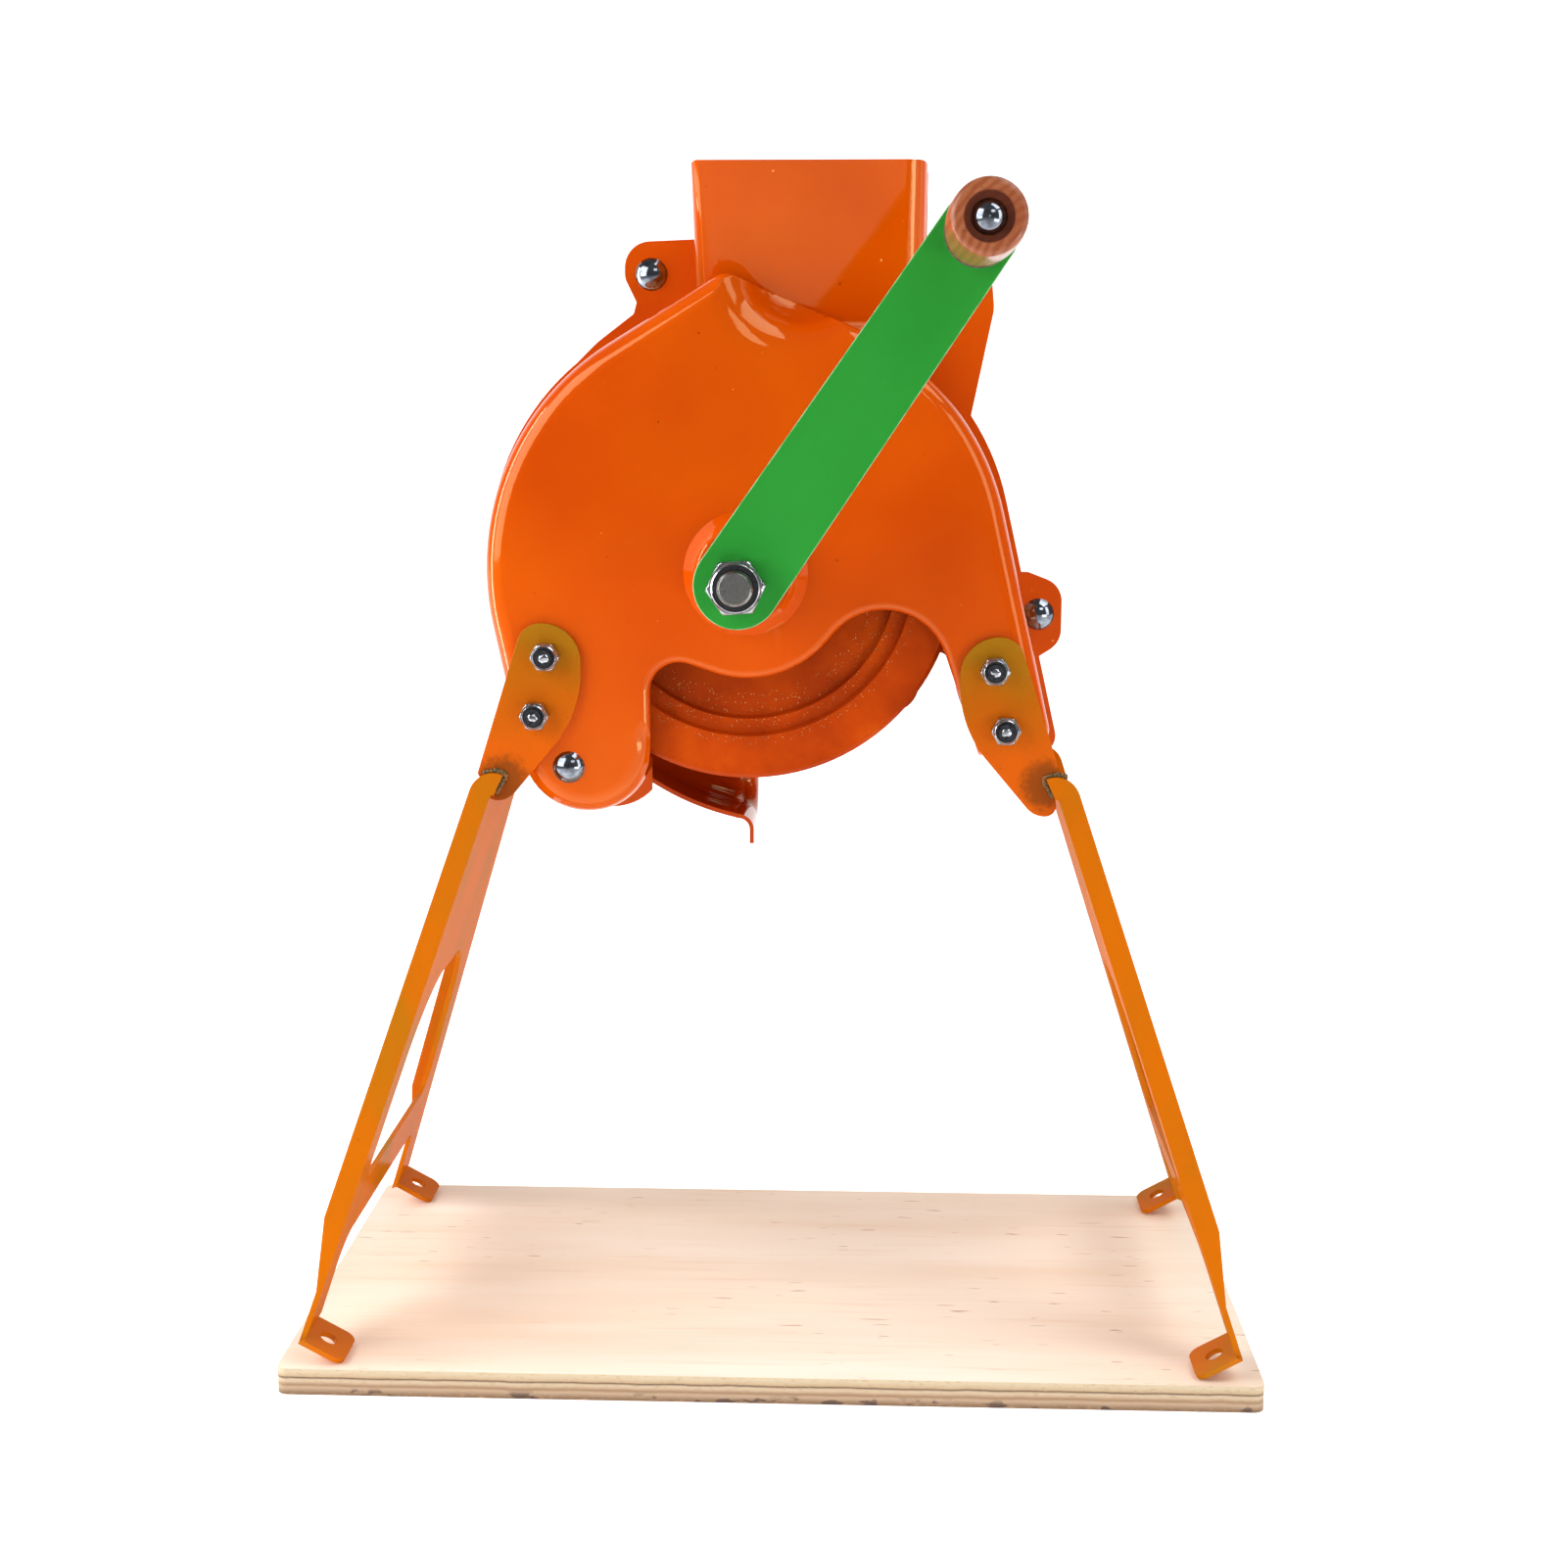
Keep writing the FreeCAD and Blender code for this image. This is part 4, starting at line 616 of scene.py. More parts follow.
@dataclass(frozen=True)
class BirchPlywood(Finish):
    """Raw birch plywood: pale face with short brown dashes, layered sides with a dark glue line.

    The fibres of the sides are drawn coarser than they are, because their real size wouldn't show.
    """

    name: str = "raw birch plywood"
    faces: Stops = ((0.3, "#F1D9BF"), (0.5, "#F6E3CD"), (0.72, "#FAEBD8"))
    plies: Stops = ((0.02, "#7A5C40"), (0.20, "#B0957A"), (0.34, "#8E6E4E"), (0.5, "#B8A084"), (0.62, "#BEAA8C"),
                    (0.72, "#5C3E28"), (0.78, "#B49A78"), (0.96, "#C4B294"))
    streak: str = "#E2BE9B"
    dash: str = "#B98B64"
    fibre: str = "#A8845E"
    low_edge_dark: str = "#4A3226"
    waver_mm: float = 0.9
    sides_mm: float = 10.9
    low_edge_dark_mm: Pair = (0.5, 4.0)

    def build(self, paint: Paint) -> None:
        """Paint the face grain on top and the plies round the sides, darker in patches along the bottom edge.

        Args:
            paint: the new material.
        """
        face = paint.ramp(paint.noise(size_mm=26.0, stretch=(7.0, 1.0, 1.0)), self.faces)
        streaks = paint.noise(size_mm=2.4, stretch=(26.0, 1.0, 1.0))
        face = paint.flecks(face, self.streak, streaks, start=0.55, full=0.78, most=0.35)
        dashes = paint.span(paint.noise(size_mm=1.7, detail=1.0, stretch=(9.0, 1.0, 1.0)), 0.70, 0.76, 0.0, 0.85)
        patches = paint.span(paint.noise(size_mm=60.0, detail=1.0, stretch=(2.0, 1.0, 1.0)), 0.42, 0.6)
        face = paint.mix(paint.math("MULTIPLY", dashes, patches), face, linear(self.dash))
        height = paint.along("Z")
        level = paint.math("MULTIPLY_ADD", paint.noise(size_mm=9.0), self.waver_mm * MM, height)
        plies = paint.ramp(paint.span(level, 0.0, self.sides_mm * MM), self.plies)
        fibre = paint.noise(size_mm=1.1, stretch=(2.5, 2.5, 1.0), roughness=0.65)
        plies = paint.flecks(plies, self.fibre, fibre, start=0.5, full=0.72, most=0.5)
        # Darkens ragged patches in the lowest few millimetres of the sides.
        low = paint.span(height, self.low_edge_dark_mm[0] * MM, self.low_edge_dark_mm[1] * MM, 1.0, 0.0)
        chips = paint.span(paint.noise(size_mm=4.5, stretch=(2.0, 2.0, 1.0)), 0.56, 0.64)
        plies = paint.mix(paint.math("MULTIPLY", low, chips), plies, linear(self.low_edge_dark))
        upward = paint.span(paint.facing("Z"), 0.5, 0.8)
        paint.wire(Base_Color=paint.mix(upward, plies, face), Roughness=0.62, Normal=paint.bump(fibre, 0.12, 0.4))


class Gloss(Enum):
    """Finishes of the pieces, by what the piece is."""

    HOUSING = SprayedEnamel()
    # A darker copy of the housing enamel for the rear shell and the pressure plate, which sit further back:
    # painted shade.
    SHADED_HOUSING = SprayedEnamel(name="sprayed enamel, darkened as shade", colour="#B63600", deep="#A62C00",
                                 warm="#C03E00")
    LEGS = ThinOchrePaint()
    RIGHT_BRACKET = BracketPaint()
    LEFT_BRACKET = BracketPaint(name="thin orange paint, olive at the top, left", low_mm=226.4, high_mm=286.4,
                                weld_mm=(-101.0, 219.0))
    CASTING = CastPaint()
    WELD = WeldScale()
    SAND = LooseSand()
    ARM = ArmEnamel()
    RIVETS = PlatedSteel(name="polished rivet steel", colour="#8E949E", dull="#666C76", tone_mm=2.0,
                         roughness=0.1, grain_mm=0.5, grain_depth_mm=0.006)
    ZINC = PlatedSteel()
    STEEL = PlatedSteel(name="bare turned steel", colour="#9B9A98", dull="#6A6864", roughness=0.28,
                        grain_depth_mm=0.03)
    # The bolts are painted near black as the shade between their threads.
    THREAD_SHADE_STEEL = PlatedSteel(name="bolt steel, darkened as thread shade", colour="#4A4C52", dull="#1C1D21", tone_mm=1.2,
                             roughness=0.4, grain_depth_mm=0.05)
    SPRING = PlatedSteel(name="oiled spring wire", colour="#8B8C8F", dull="#55565A", roughness=0.3)
    NYLON = NylonInsert()
    GRIP = VarnishedBeech()
    BOARD = BirchPlywood()


def mesh_host(name: str, points: Sequence[Point], edges: Sequence[tuple[int, int]] = (),
              faces: Sequence[Sequence[int]] = ()) -> bpy.types.Object:
    """Make a helper mesh that a Geometry Nodes tree starts from.

    Args:
        name: name of the helper.
        points: its points in millimetres.
        edges: pairs of point numbers.
        faces: lists of point numbers.

    Returns:
        The helper object.
    """
    mesh = bpy.data.meshes.new(name)
    mesh.from_pydata([Vector(point) * MM for point in points], list(edges), [list(face) for face in faces])
    return put(name, mesh)


@dataclass
class Grower:
    """A Geometry Nodes tree with named inputs that grows one kind of repeated detail."""

    name: str
    sizes: dict[str, float]
    seed: int = 0
    tree: bpy.types.NodeTree = field(init=False)
    entry: bpy.types.Node = field(init=False)

    def __post_init__(self) -> None:
        """Make the empty tree with its sockets."""
        self.tree = bpy.data.node_groups.new(self.name, "GeometryNodeTree")
        sockets = [("Geometry", "OUTPUT", "Geometry"), ("Geometry", "INPUT", "Geometry")]
        sockets += [(key, "INPUT", "Float") for key in self.sizes] + [("Seed", "INPUT", "Int")]
        for key, way, kind in sockets:
            self.tree.interface.new_socket(key, in_out=way, socket_type="NodeSocket" + kind)
        self.entry = self.tree.nodes.new("NodeGroupInput")

    def add(self, kind: str, inputs: dict[Any, Any], out: int | str = 0, **settings: Any) -> Socket:
        """Add a node to the tree.

        Args:
            kind: the node's type name.
            inputs: values, sockets, or names of the tree's own inputs, by input name or number.
            out: the output that is wanted, by name or number.
            settings: attribute values of the node.

        Returns:
            The output's socket.
        """
        given = {key: self.entry.outputs[value] if isinstance(value, str) else value
                 for key, value in inputs.items()}
        return add_node(self.tree, kind, settings, given).outputs[out]

    def close(self, geometry: Socket, finish: Gloss) -> None:
        """End the tree in real geometry with its material.

        Args:
            geometry: the grown geometry.
            finish: its finish.
        """
        solid = self.add("GeometryNodeRealizeInstances", {"Geometry": geometry})
        painted = self.add("GeometryNodeSetMaterial", {"Geometry": solid, "Material": finish.value.material()})
        add_node(self.tree, "NodeGroupOutput", inputs={"Geometry": painted})

    def grow(self, host: bpy.types.Object, name: str, body: str, slot: str) -> None:
        """Run the tree on a helper mesh and keep the result as a plain piece.

        Args:
            host: helper mesh, removed afterwards.
            name: name of the new piece.
            body: body that it rides on.
            slot: material slot of the record; not used.
        """
        modifier = host.modifiers.new(self.name, "NODES")
        modifier.node_group = self.tree
        values: dict[str, Any] = {**self.sizes, "Seed": self.seed}
        for item in self.tree.interface.items_tree:
            if item.in_out == "INPUT" and item.name in values:
                modifier[item.identifier] = values[item.name]
        graph = bpy.context.evaluated_depsgraph_get()
        mesh = bpy.data.meshes.new_from_object(host.evaluated_get(graph), preserve_all_data_layers=True,
                                               depsgraph=graph)
        mesh.name = name
        host.modifiers.remove(modifier)
        bpy.data.objects.remove(host, do_unlink=True)
        mesh.polygons.foreach_set("use_smooth", [True] * len(mesh.polygons))
        piece = put(name, mesh)
        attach(piece, body)
        LOG.info("%s: %d faces grown", name, len(mesh.polygons))


@dataclass(frozen=True)
class Thread:
    """Helical thread ridge on a bar that lies along Y, centred on one point."""

    middle_mm: Point
    radius_mm: float
    pitch_mm: float
    length_mm: float
    ridge_mm: float
    turn_steps: int = 28
    ridge_sides: int = 6

    def grow(self, name: str, body: str) -> None:
        """Wind the ridge round the bar.

        Args:
            name: name of the new piece.
            body: body that it rides on.
        """
        grower = Grower("thread ridge", {"Radius": self.radius_mm * MM, "Turns": self.length_mm / self.pitch_mm,
                                         "Length": self.length_mm * MM, "Ridge": self.ridge_mm * MM})
        coil = grower.add("GeometryNodeCurveSpiral", {
            "Resolution": self.turn_steps, "Rotations": "Turns", "Start Radius": "Radius",
            "End Radius": "Radius", "Height": "Length"})
        section = grower.add("GeometryNodeCurvePrimitiveCircle", {
            "Resolution": self.ridge_sides, "Radius": "Ridge"})
        ridge = grower.add("GeometryNodeCurveToMesh", {"Curve": coil, "Profile Curve": section, "Fill Caps": True})
        half = grower.add("ShaderNodeMath", {0: "Length", 1: -0.5}, operation="MULTIPLY")
        shift = grower.add("ShaderNodeCombineXYZ", {2: half})
        centred = grower.add("GeometryNodeTransform", {"Geometry": ridge, "Translation": shift})
        laid = grower.add("GeometryNodeTransform", {"Geometry": centred, "Rotation": (math.pi / 2, 0.0, 0.0)})
        placed = grower.add("GeometryNodeInstanceOnPoints", {"Points": "Geometry", "Instance": laid})
        grower.close(placed, Gloss.STEEL)
        grower.grow(mesh_host("thread spot", [self.middle_mm]), name, body, "bare_steel")


@dataclass
class Model:
    """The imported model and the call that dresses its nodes."""

    nodes: dict[str, bpy.types.Object]
    home: dict[str, str]
    slots: dict[str, str]
    merge_mm: float = 0.01
    speck_mm: float = 0.001
    flat_deg: float = 0.4
    crease_deg: float = 32.0
    sharp_deg: float = 50.0

    def _welded(self, source: bpy.types.Mesh, name: str) -> bpy.types.Mesh:
        """Copy a mesh with its points merged, its flat triangles joined and smooth shading up to the creases.

        Args:
            source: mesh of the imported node.
            name: name of the copy.

        Returns:
            The copy.
        """
        mesh = source.copy()
        mesh.name = name
        work = bmesh.new()
        work.from_mesh(mesh)
        bmesh.ops.remove_doubles(work, verts=work.verts, dist=self.merge_mm * MM)
        bmesh.ops.dissolve_degenerate(work, dist=self.speck_mm * MM, edges=work.edges)
        bmesh.ops.dissolve_limit(work, angle_limit=math.radians(self.flat_deg), verts=work.verts, edges=work.edges)
        work.to_mesh(mesh)
        work.free()
        mesh.polygons.foreach_set("use_smooth", [True] * len(mesh.polygons))
        mesh.set_sharp_from_angle(angle=math.radians(self.crease_deg))
        return mesh

    def smooth(self, node: str, finish: Gloss, edge_mm: float = 0.0) -> bpy.types.Object:
        """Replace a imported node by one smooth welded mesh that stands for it.

        Args:
            node: name of the node.
            finish: its finish.
            edge_mm: width of the rounding on sharp edges, or zero for none.

        Returns:
            The new piece.
        """
        name = node + "_surface"
        mesh = self._welded(self.nodes[node].data, name)
        mesh.materials.clear()
        mesh.materials.append(finish.value.material())
        piece = put(name, mesh)
        if edge_mm > 0:
            rounding = piece.modifiers.new("rounded cut edges", "BEVEL")
            rounding.width = edge_mm * MM
            rounding.segments = 2
            rounding.limit_method = "ANGLE"
            rounding.angle_limit = math.radians(self.sharp_deg)
            rounding.use_clamp_overlap = True
        weighted = piece.modifiers.new("even shading", "WEIGHTED_NORMAL")
        weighted.keep_sharp = True
        weighted.mode = "FACE_AREA"
        weighted.weight = 100
        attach(piece, self.home[node])
        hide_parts(node)
        LOG.info("%s: %d faces", name, len(mesh.polygons))
        return piece

    def dress(self, **finishes: Gloss) -> None:
        """Replace several nodes, each named with its finish."""
        for node, finish in finishes.items():
            self.smooth(node, finish)


@dataclass
class Housing:
    """Both pressed shells with the bushes of the shaft."""

    model: Model

    def build(self) -> None:
        """Dress the shells, bushes and the stay tube."""
        self.model.dress(front_shell=Gloss.HOUSING, rear_shell=Gloss.SHADED_HOUSING, front_bush=Gloss.HOUSING,
                         rear_bush=Gloss.STEEL, lower_stay_tube=Gloss.STEEL)


@dataclass
class Legs:
    """Leg frames, the brackets that carry the housing, and the welds between them."""

    model: Model
    edge_mm: float = 0.3
    hook_mm: Pair = (104.8, 213.0)
    hook_radius_mm: float = 9.5
    hook_arc_deg: Pair = (72.0, 119.0)
    arc_steps: int = 10
    end_turn_deg: float = 4.0
    end_shares: Point = (0.75, 0.5, 0.25)
    bead_radius_mm: float = 1.1
    bead_step_mm: float = 1.3
    least_bead: Point = (0.8, 0.45, 0.8)
    greatest_bead: Point = (1.35, 0.8, 1.35)
    bracket_face_mm: float = 36.2
    seed: int = 7

    def build(self) -> None:
        """Dress the legs and brackets and lay the welds."""
        for side, paint in (("left", Gloss.LEFT_BRACKET), ("right", Gloss.RIGHT_BRACKET)):
            self.model.smooth(side + "_leg_frame", Gloss.LEGS, self.edge_mm)
            for end in ("front", "rear"):
                self.model.smooth(f"{end}_{side}_bracket", paint, self.edge_mm)
        self._welds()

    def _bead_path(self, side: int, depth: float) -> list[Point]:
        """Points along one weld: round the hook's arc and down its end.

        Args:
            side: minus one for left and one for right.
            depth: depth of the bracket's face.

        Returns:
            The points in millimetres.
        """
        first, last = self.hook_arc_deg
        turns = [(first + (last - first) * i / self.arc_steps, 1.0) for i in range(self.arc_steps + 1)]
        turns += [(last + self.end_turn_deg, share) for share in self.end_shares]
        points: list[Point] = []
        for turn, share in turns:
            angle = math.radians(turn)
            reach = self.hook_radius_mm * share
            points.append((side * (self.hook_mm[0] + reach * math.cos(angle)), depth,
                           self.hook_mm[1] + reach * math.sin(angle)))
        return points

    def _welds(self) -> None:
        """Lay a row of lumpy beads on each bracket beside the hook of its leg."""
        points: list[Point] = []
        edges: list[tuple[int, int]] = []
        for side in (-1, 1):
            for depth in (-self.bracket_face_mm, self.bracket_face_mm):
                path = self._bead_path(side, depth)
                start = len(points)
                points += path
                edges += [(start + i, start + i + 1) for i in range(len(path) - 1)]
        grower = Grower("weld beads", {"Bead radius": self.bead_radius_mm * MM,
                                       "Bead step": self.bead_step_mm * MM}, self.seed)
        line = grower.add("GeometryNodeMeshToCurve", {"Mesh": "Geometry"})
        spots = grower.add("GeometryNodeCurveToPoints", {"Curve": line, "Length": "Bead step"}, mode="LENGTH")
        ball = grower.add("GeometryNodeMeshIcoSphere", {"Radius": "Bead radius", "Subdivisions": 2})
        spread = grower.add("FunctionNodeRandomValue", {
            0: self.least_bead, 1: self.greatest_bead, "Seed": "Seed"}, data_type="FLOAT_VECTOR")
        beads = grower.add("GeometryNodeInstanceOnPoints", {"Points": spots, "Instance": ball, "Scale": spread})
        grower.close(beads, Gloss.WELD)
        grower.grow(mesh_host("weld lines", points, edges), "weld_beads", "housing", "ochre_paint")


@dataclass
class Disc:
    """Toothed disc on the shaft, with moulding sand along its front steps."""

    model: Model
    axis_mm: Pair = (-10.3, 296.4)
    # Inner radius, outer radius and depth of each ring that holds sand.
    zones_mm: tuple[Point, ...] = ((61.8, 65.0, -24.05), (55.8, 59.4, -21.05), (46.0, 54.6, -18.05))
    grains_per_mm2: float = 0.32
    # The grains are larger than moulding sand, which wouldn't show.
    grain_mm: float = 0.2
    least_grain: Point = (0.4, 0.4, 0.4)
    greatest_grain: Point = (1.5, 1.0, 1.5)
    sides: int = 72
    seed: int = 11
    thread: Thread = Thread((-10.3, -97.9, 296.4), radius_mm=5.85, pitch_mm=1.25, length_mm=2.0, ridge_mm=0.28)

    def build(self) -> None:
        """Dress the disc and the shaft parts and scatter the sand."""
        self.model.dress(toothed_disc=Gloss.CASTING, disc_hub=Gloss.CASTING, main_shaft=Gloss.STEEL,
                         disc_pin=Gloss.STEEL, front_thrust_washer=Gloss.STEEL, rear_washer=Gloss.STEEL,
                         rear_split_pin=Gloss.STEEL)
        self._sand()
        self.thread.grow("shaft_thread", "crank")

    def _sand(self) -> None:
        """Scatter grains in the ring-shaped zones beside the steps."""
        points: list[Point] = []
        faces: list[Sequence[int]] = []
        for inner, outer, depth in self.zones_mm:
            start = len(points)
            for i in range(self.sides):
                angle = 2 * math.pi * i / self.sides
                for radius in (inner, outer):
                    points.append((self.axis_mm[0] + radius * math.cos(angle), depth,
                                   self.axis_mm[1] + radius * math.sin(angle)))
            for i in range(self.sides):
                near = start + 2 * i
                far = start + 2 * ((i + 1) % self.sides)
                faces.append((near, near + 1, far + 1, far))
        grower = Grower("sand grains", {"Grains per square metre": self.grains_per_mm2 / MM / MM,
                                        "Grain radius": self.grain_mm * MM}, self.seed)
        spots = grower.add("GeometryNodeDistributePointsOnFaces", {
            "Mesh": "Geometry", "Density": "Grains per square metre", "Seed": "Seed"}, distribute_method="RANDOM")
        grain = grower.add("GeometryNodeMeshIcoSphere", {"Radius": "Grain radius", "Subdivisions": 1})
        spread = grower.add("FunctionNodeRandomValue", {
            0: self.least_grain, 1: self.greatest_grain, "Seed": "Seed"}, data_type="FLOAT_VECTOR")
        grains = grower.add("GeometryNodeInstanceOnPoints", {"Points": spots, "Instance": grain, "Scale": spread})
        grower.close(grains, Gloss.SAND)
        grower.grow(mesh_host("sand zones", points, faces=faces), "sand_grains", "crank", "disc_paint")


@dataclass
class Crank:
    """Crank arm, its nut and the grip."""

    model: Model

    def build(self) -> None:
        """Dress the arm, its nut and the grip with its rivet."""
        self.model.dress(crank_arm=Gloss.ARM, crank_nut=Gloss.ZINC, crank_nut_insert=Gloss.NYLON,
                         handle_rivet=Gloss.RIVETS, handle_washer=Gloss.ZINC, wooden_handle=Gloss.GRIP)


@dataclass
class Fasteners:
    """Rivets, bolts and nuts of the housing, with the sheared bright tips of the bolts."""

    model: Model
    bolts_mm: tuple[Pair, ...] = ((81.4, 261.4), (85.8, 239.4), (-84.1, 265.8), (-88.5, 243.8))
    bolt_end_mm: float = 43.2
    tip_radius_mm: float = 1.75
    tip_flatness: float = 0.28
    tip_height: float = 0.9
    tip_sizes: Pair = (0.85, 1.12)
    dents_per_m: float = 700.0
    dent_mm: Point = (2.2, 0.4, 2.2)
    seed: int = 5

    def build(self) -> None:
        """Dress rivets, bolts and nuts and add the bolt tips."""
        self.model.dress(ear_rivets=Gloss.RIVETS, lower_stay_rivet=Gloss.RIVETS, bracket_bolts=Gloss.THREAD_SHADE_STEEL,
                         bracket_nuts=Gloss.ZINC, bracket_nut_inserts=Gloss.NYLON)
        self._tips()

    def _tips(self) -> None:
        """Put a small uneven bright knob on the end of every bolt."""
        spots = [(across, side * self.bolt_end_mm, up) for across, up in self.bolts_mm for side in (-1, 1)]
        grower = Grower("bolt tips", {"Tip radius": self.tip_radius_mm * MM,
                                      "Flatness": self.tip_flatness}, self.seed)
        knob = grower.add("GeometryNodeMeshIcoSphere", {"Radius": "Tip radius", "Subdivisions": 3})
        spread = grower.add("FunctionNodeRandomValue", {
            2: self.tip_sizes[0], 3: self.tip_sizes[1], "Seed": "Seed"}, out=1, data_type="FLOAT")
        flat = grower.add("ShaderNodeCombineXYZ", {0: 1.0, 1: "Flatness", 2: self.tip_height})
        size = grower.add("ShaderNodeVectorMath", {0: flat, "Scale": spread}, operation="SCALE")
        knobs = grower.add("GeometryNodeInstanceOnPoints", {"Points": "Geometry", "Instance": knob, "Scale": size})
        solid = grower.add("GeometryNodeRealizeInstances", {"Geometry": knobs})
        where = grower.add("GeometryNodeInputPosition", {})
        dents = grower.add("ShaderNodeTexNoise", {"Vector": where, "Scale": self.dents_per_m}, out="Color")
        centred = grower.add("ShaderNodeVectorMath", {0: dents, 1: (0.5, 0.5, 0.5)}, operation="SUBTRACT")
        push = grower.add("ShaderNodeVectorMath", {0: centred, 1: [reach * MM for reach in self.dent_mm]},
                          operation="MULTIPLY")
        uneven = grower.add("GeometryNodeSetPosition", {"Geometry": solid, "Offset": push})
        grower.close(uneven, Gloss.ZINC)
        grower.grow(mesh_host("bolt ends", spots), "bolt_tips", "housing", "bare_steel")


@dataclass
class PressureGroup:
    """Sprung pressure plate behind the disc."""

    model: Model
    spring_seat_mm: float = 50.4
    spring_keep: float = 0.58
    edge_mm: float = 0.3
    thread: Thread = Thread((27.7, 63.6, 302.4), radius_mm=2.9, pitch_mm=1.0, length_mm=4.6, ridge_mm=0.22)

    def build(self) -> None:
        """Dress the plate, its pin, stud, spring and nut."""
        self.model.smooth("pressure_plate", Gloss.SHADED_HOUSING, self.edge_mm)
        self.model.dress(plate_hinge_pin=Gloss.STEEL, tension_stud=Gloss.STEEL, stud_washer=Gloss.ZINC)
        self.model.smooth("wing_nut", Gloss.ZINC, self.edge_mm)
        spring = self.model.smooth("pressure_spring", Gloss.SPRING)
        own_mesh(spring)
        self.thread.grow("stud_thread", "pressure_plate")


@dataclass
class Board:
    """Plywood board under the feet."""

    model: Model

    def build(self) -> None:
        """Dress the board."""
        self.model.smooth("base_board", Gloss.BOARD)


@dataclass(frozen=True)
class SoftBox:
    """One soft box: its centre, width and height in metres, and its power in watts."""

    name: str
    place: Point
    size: Pair
    watts: float

    def light(self, target: Point) -> None:
        """Add the light.

        Args:
            target: point that it faces, in metres.
        """
        light = bpy.data.lights.new(self.name, "AREA")
        light.shape = "RECTANGLE"
        light.size, light.size_y = self.size
        light.energy = self.watts
        lamp = put(self.name, light)
        aim = Vector(target) - Vector(self.place)
        lamp.matrix_world = Matrix.Translation(self.place) @ aim.to_track_quat("-Z", "Y").to_matrix().to_4x4()


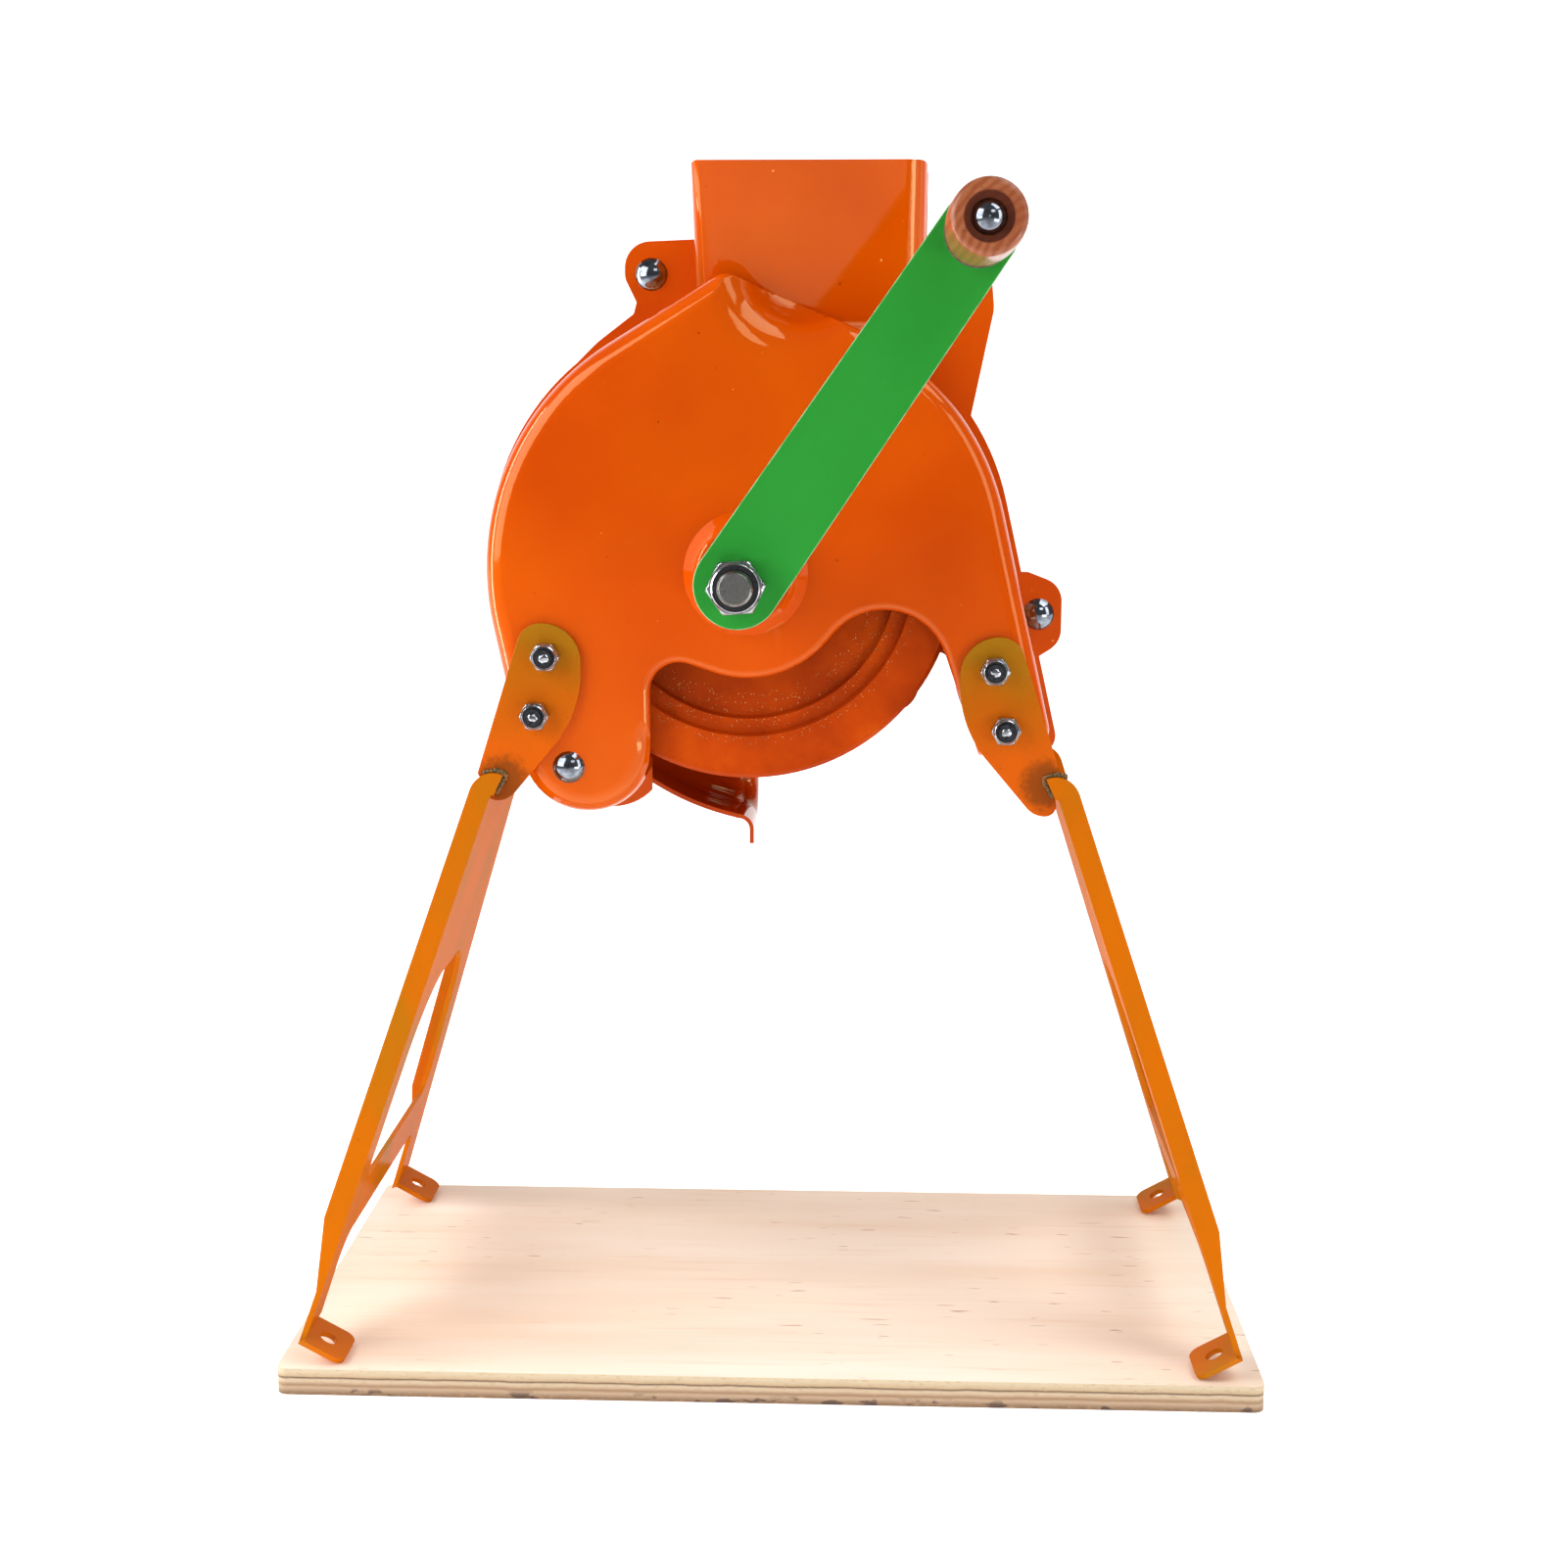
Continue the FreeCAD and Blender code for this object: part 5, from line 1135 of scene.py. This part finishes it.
@dataclass
class Studio:
    """Pale floor, soft lights and the camera of the photograph; the room's sizes are in metres."""

    eye_mm: Point = (35.2, -824.3, 360.4)
    yaw: float = -0.0396
    pitch: float = 0.178
    roll: float = 0.001
    focal_px: float = 2200.0
    frame_px: float = 1601.0
    sensor_mm: float = 36.0
    near_clip: float = 0.01
    half_room: float = 5.0
    floor_end: float = 2.2
    cove_radius: float = 1.0
    cove_steps: int = 12
    floor_drop: float = 0.0002
    dim_floor_from: float = -0.42
    dim_floor_to: float = -0.22
    dim_glow: float = 0.05
    full_glow: float = 0.8
    air_strength: float = 0.14
    target: Point = (0.0, 0.0, 0.3)
    boxes: tuple[SoftBox, ...] = (
        SoftBox("large left box", (-0.78, -0.56, 0.68), (0.75, 0.9), 9.3),
        SoftBox("left edge strip", (-0.8, -0.05, 0.4), (0.14, 0.8), 3.8),
        SoftBox("right box", (1.45, -0.75, 0.7), (0.5, 1.2), 6.0),
        SoftBox("top box", (0.8, -0.3, 1.6), (1.0, 0.9), 10.0),
        SoftBox("front fill", (0.95, -2.1, 1.7), (0.9, 0.6), 6.0),
        SoftBox("low right fill", (0.75, -0.8, 0.1), (0.5, 0.16), 2.0))

    def build(self) -> None:
        """Make the backdrop, lights, world and camera."""
        self._backdrop()
        for box in self.boxes:
            box.light(self.target)
        self._air()
        self._camera()

    def _backdrop(self) -> None:
        """Make a floor that curves up into a pale wall and glows, so that it stays white behind the object.

        In front of the object the floor glows less, so that the shiny paint doesn't mirror it.
        """
        work = bmesh.new()
        profile = [(-self.half_room, 0.0), (self.floor_end, 0.0)]
        for step in range(1, self.cove_steps + 1):
            angle = math.pi / 2 * step / self.cove_steps
            profile.append((self.floor_end + self.cove_radius * math.sin(angle),
                            self.cove_radius * (1.0 - math.cos(angle))))
        profile.append((self.floor_end + self.cove_radius, self.half_room))
        rows = [[work.verts.new((x, y, z - self.floor_drop)) for x in (-self.half_room, self.half_room)]
                for y, z in profile]
        for near, far in zip(rows, rows[1:]):
            work.faces.new((near[0], near[1], far[1], far[0]))
        mesh = bpy.data.meshes.new("studio_floor")
        work.to_mesh(mesh)
        work.free()
        mesh.polygons.foreach_set("use_smooth", [True] * len(mesh.polygons))
        floor = put("studio_floor", mesh)
        paper = Paint("white studio paper")
        glow = paper.span(paper.along("Y"), self.dim_floor_from, self.dim_floor_to, self.dim_glow, self.full_glow)
        paper.wire(Base_Color=linear("#F4F4F4"), Roughness=0.9, Specular_IOR_Level=0.2,
                   Emission_Color=linear("#FFFFFF"), Emission_Strength=glow)
        mesh.materials.append(paper.material)

    def _air(self) -> None:
        """Light the room evenly and keep the colours as they are."""
        world = bpy.data.worlds.new("studio air")
        world.use_nodes = True
        air = world.node_tree.nodes["Background"]
        air.inputs["Color"].default_value = linear("#FFFFFF")
        air.inputs["Strength"].default_value = self.air_strength
        bpy.context.scene.world = world
        view = bpy.context.scene.view_settings
        view.view_transform = "Standard"
        view.look = "None"

    def _camera(self) -> None:
        """Place the camera at the photograph's viewpoint."""
        level = math.cos(self.pitch)
        forward = Vector((math.sin(self.yaw) * level, math.cos(self.yaw) * level, -math.sin(self.pitch)))
        right = Vector((math.cos(self.yaw), -math.sin(self.yaw), 0.0))
        up = right.cross(forward)
        turned = math.cos(self.roll) * right + math.sin(self.roll) * up
        upright = turned.cross(forward)
        rotation = Matrix((turned, upright, -forward)).transposed().to_4x4()
        camera = bpy.data.cameras.new("photo camera")
        camera.sensor_fit = "HORIZONTAL"
        camera.sensor_width = self.sensor_mm
        camera.lens = self.sensor_mm * self.focal_px / self.frame_px
        camera.clip_start = self.near_clip
        viewer = put("photo camera", camera)
        viewer.matrix_world = Matrix.Translation(Vector(self.eye_mm) * MM) @ rotation
        bpy.context.scene.camera = viewer


def main() -> None:
    """Load the frame, dress it and build the studio."""
    logging.basicConfig(level=logging.INFO, format="%(message)s")
    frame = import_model()
    record = frame["record"]
    home = {node: body for body, members in record["behaviour"]["bodies"].items() for node in members}
    slots = {entry["node"]: entry["material_slot"] for entry in record["subparts"]}
    model = Model(frame["nodes"], home, slots)
    for part in (Housing, Legs, Disc, Crank, Fasteners, PressureGroup, Board):
        part(model).build()
        LOG.info("%s dressed", part.__name__)
    Studio().build()


if __name__ == "__main__":
    main()
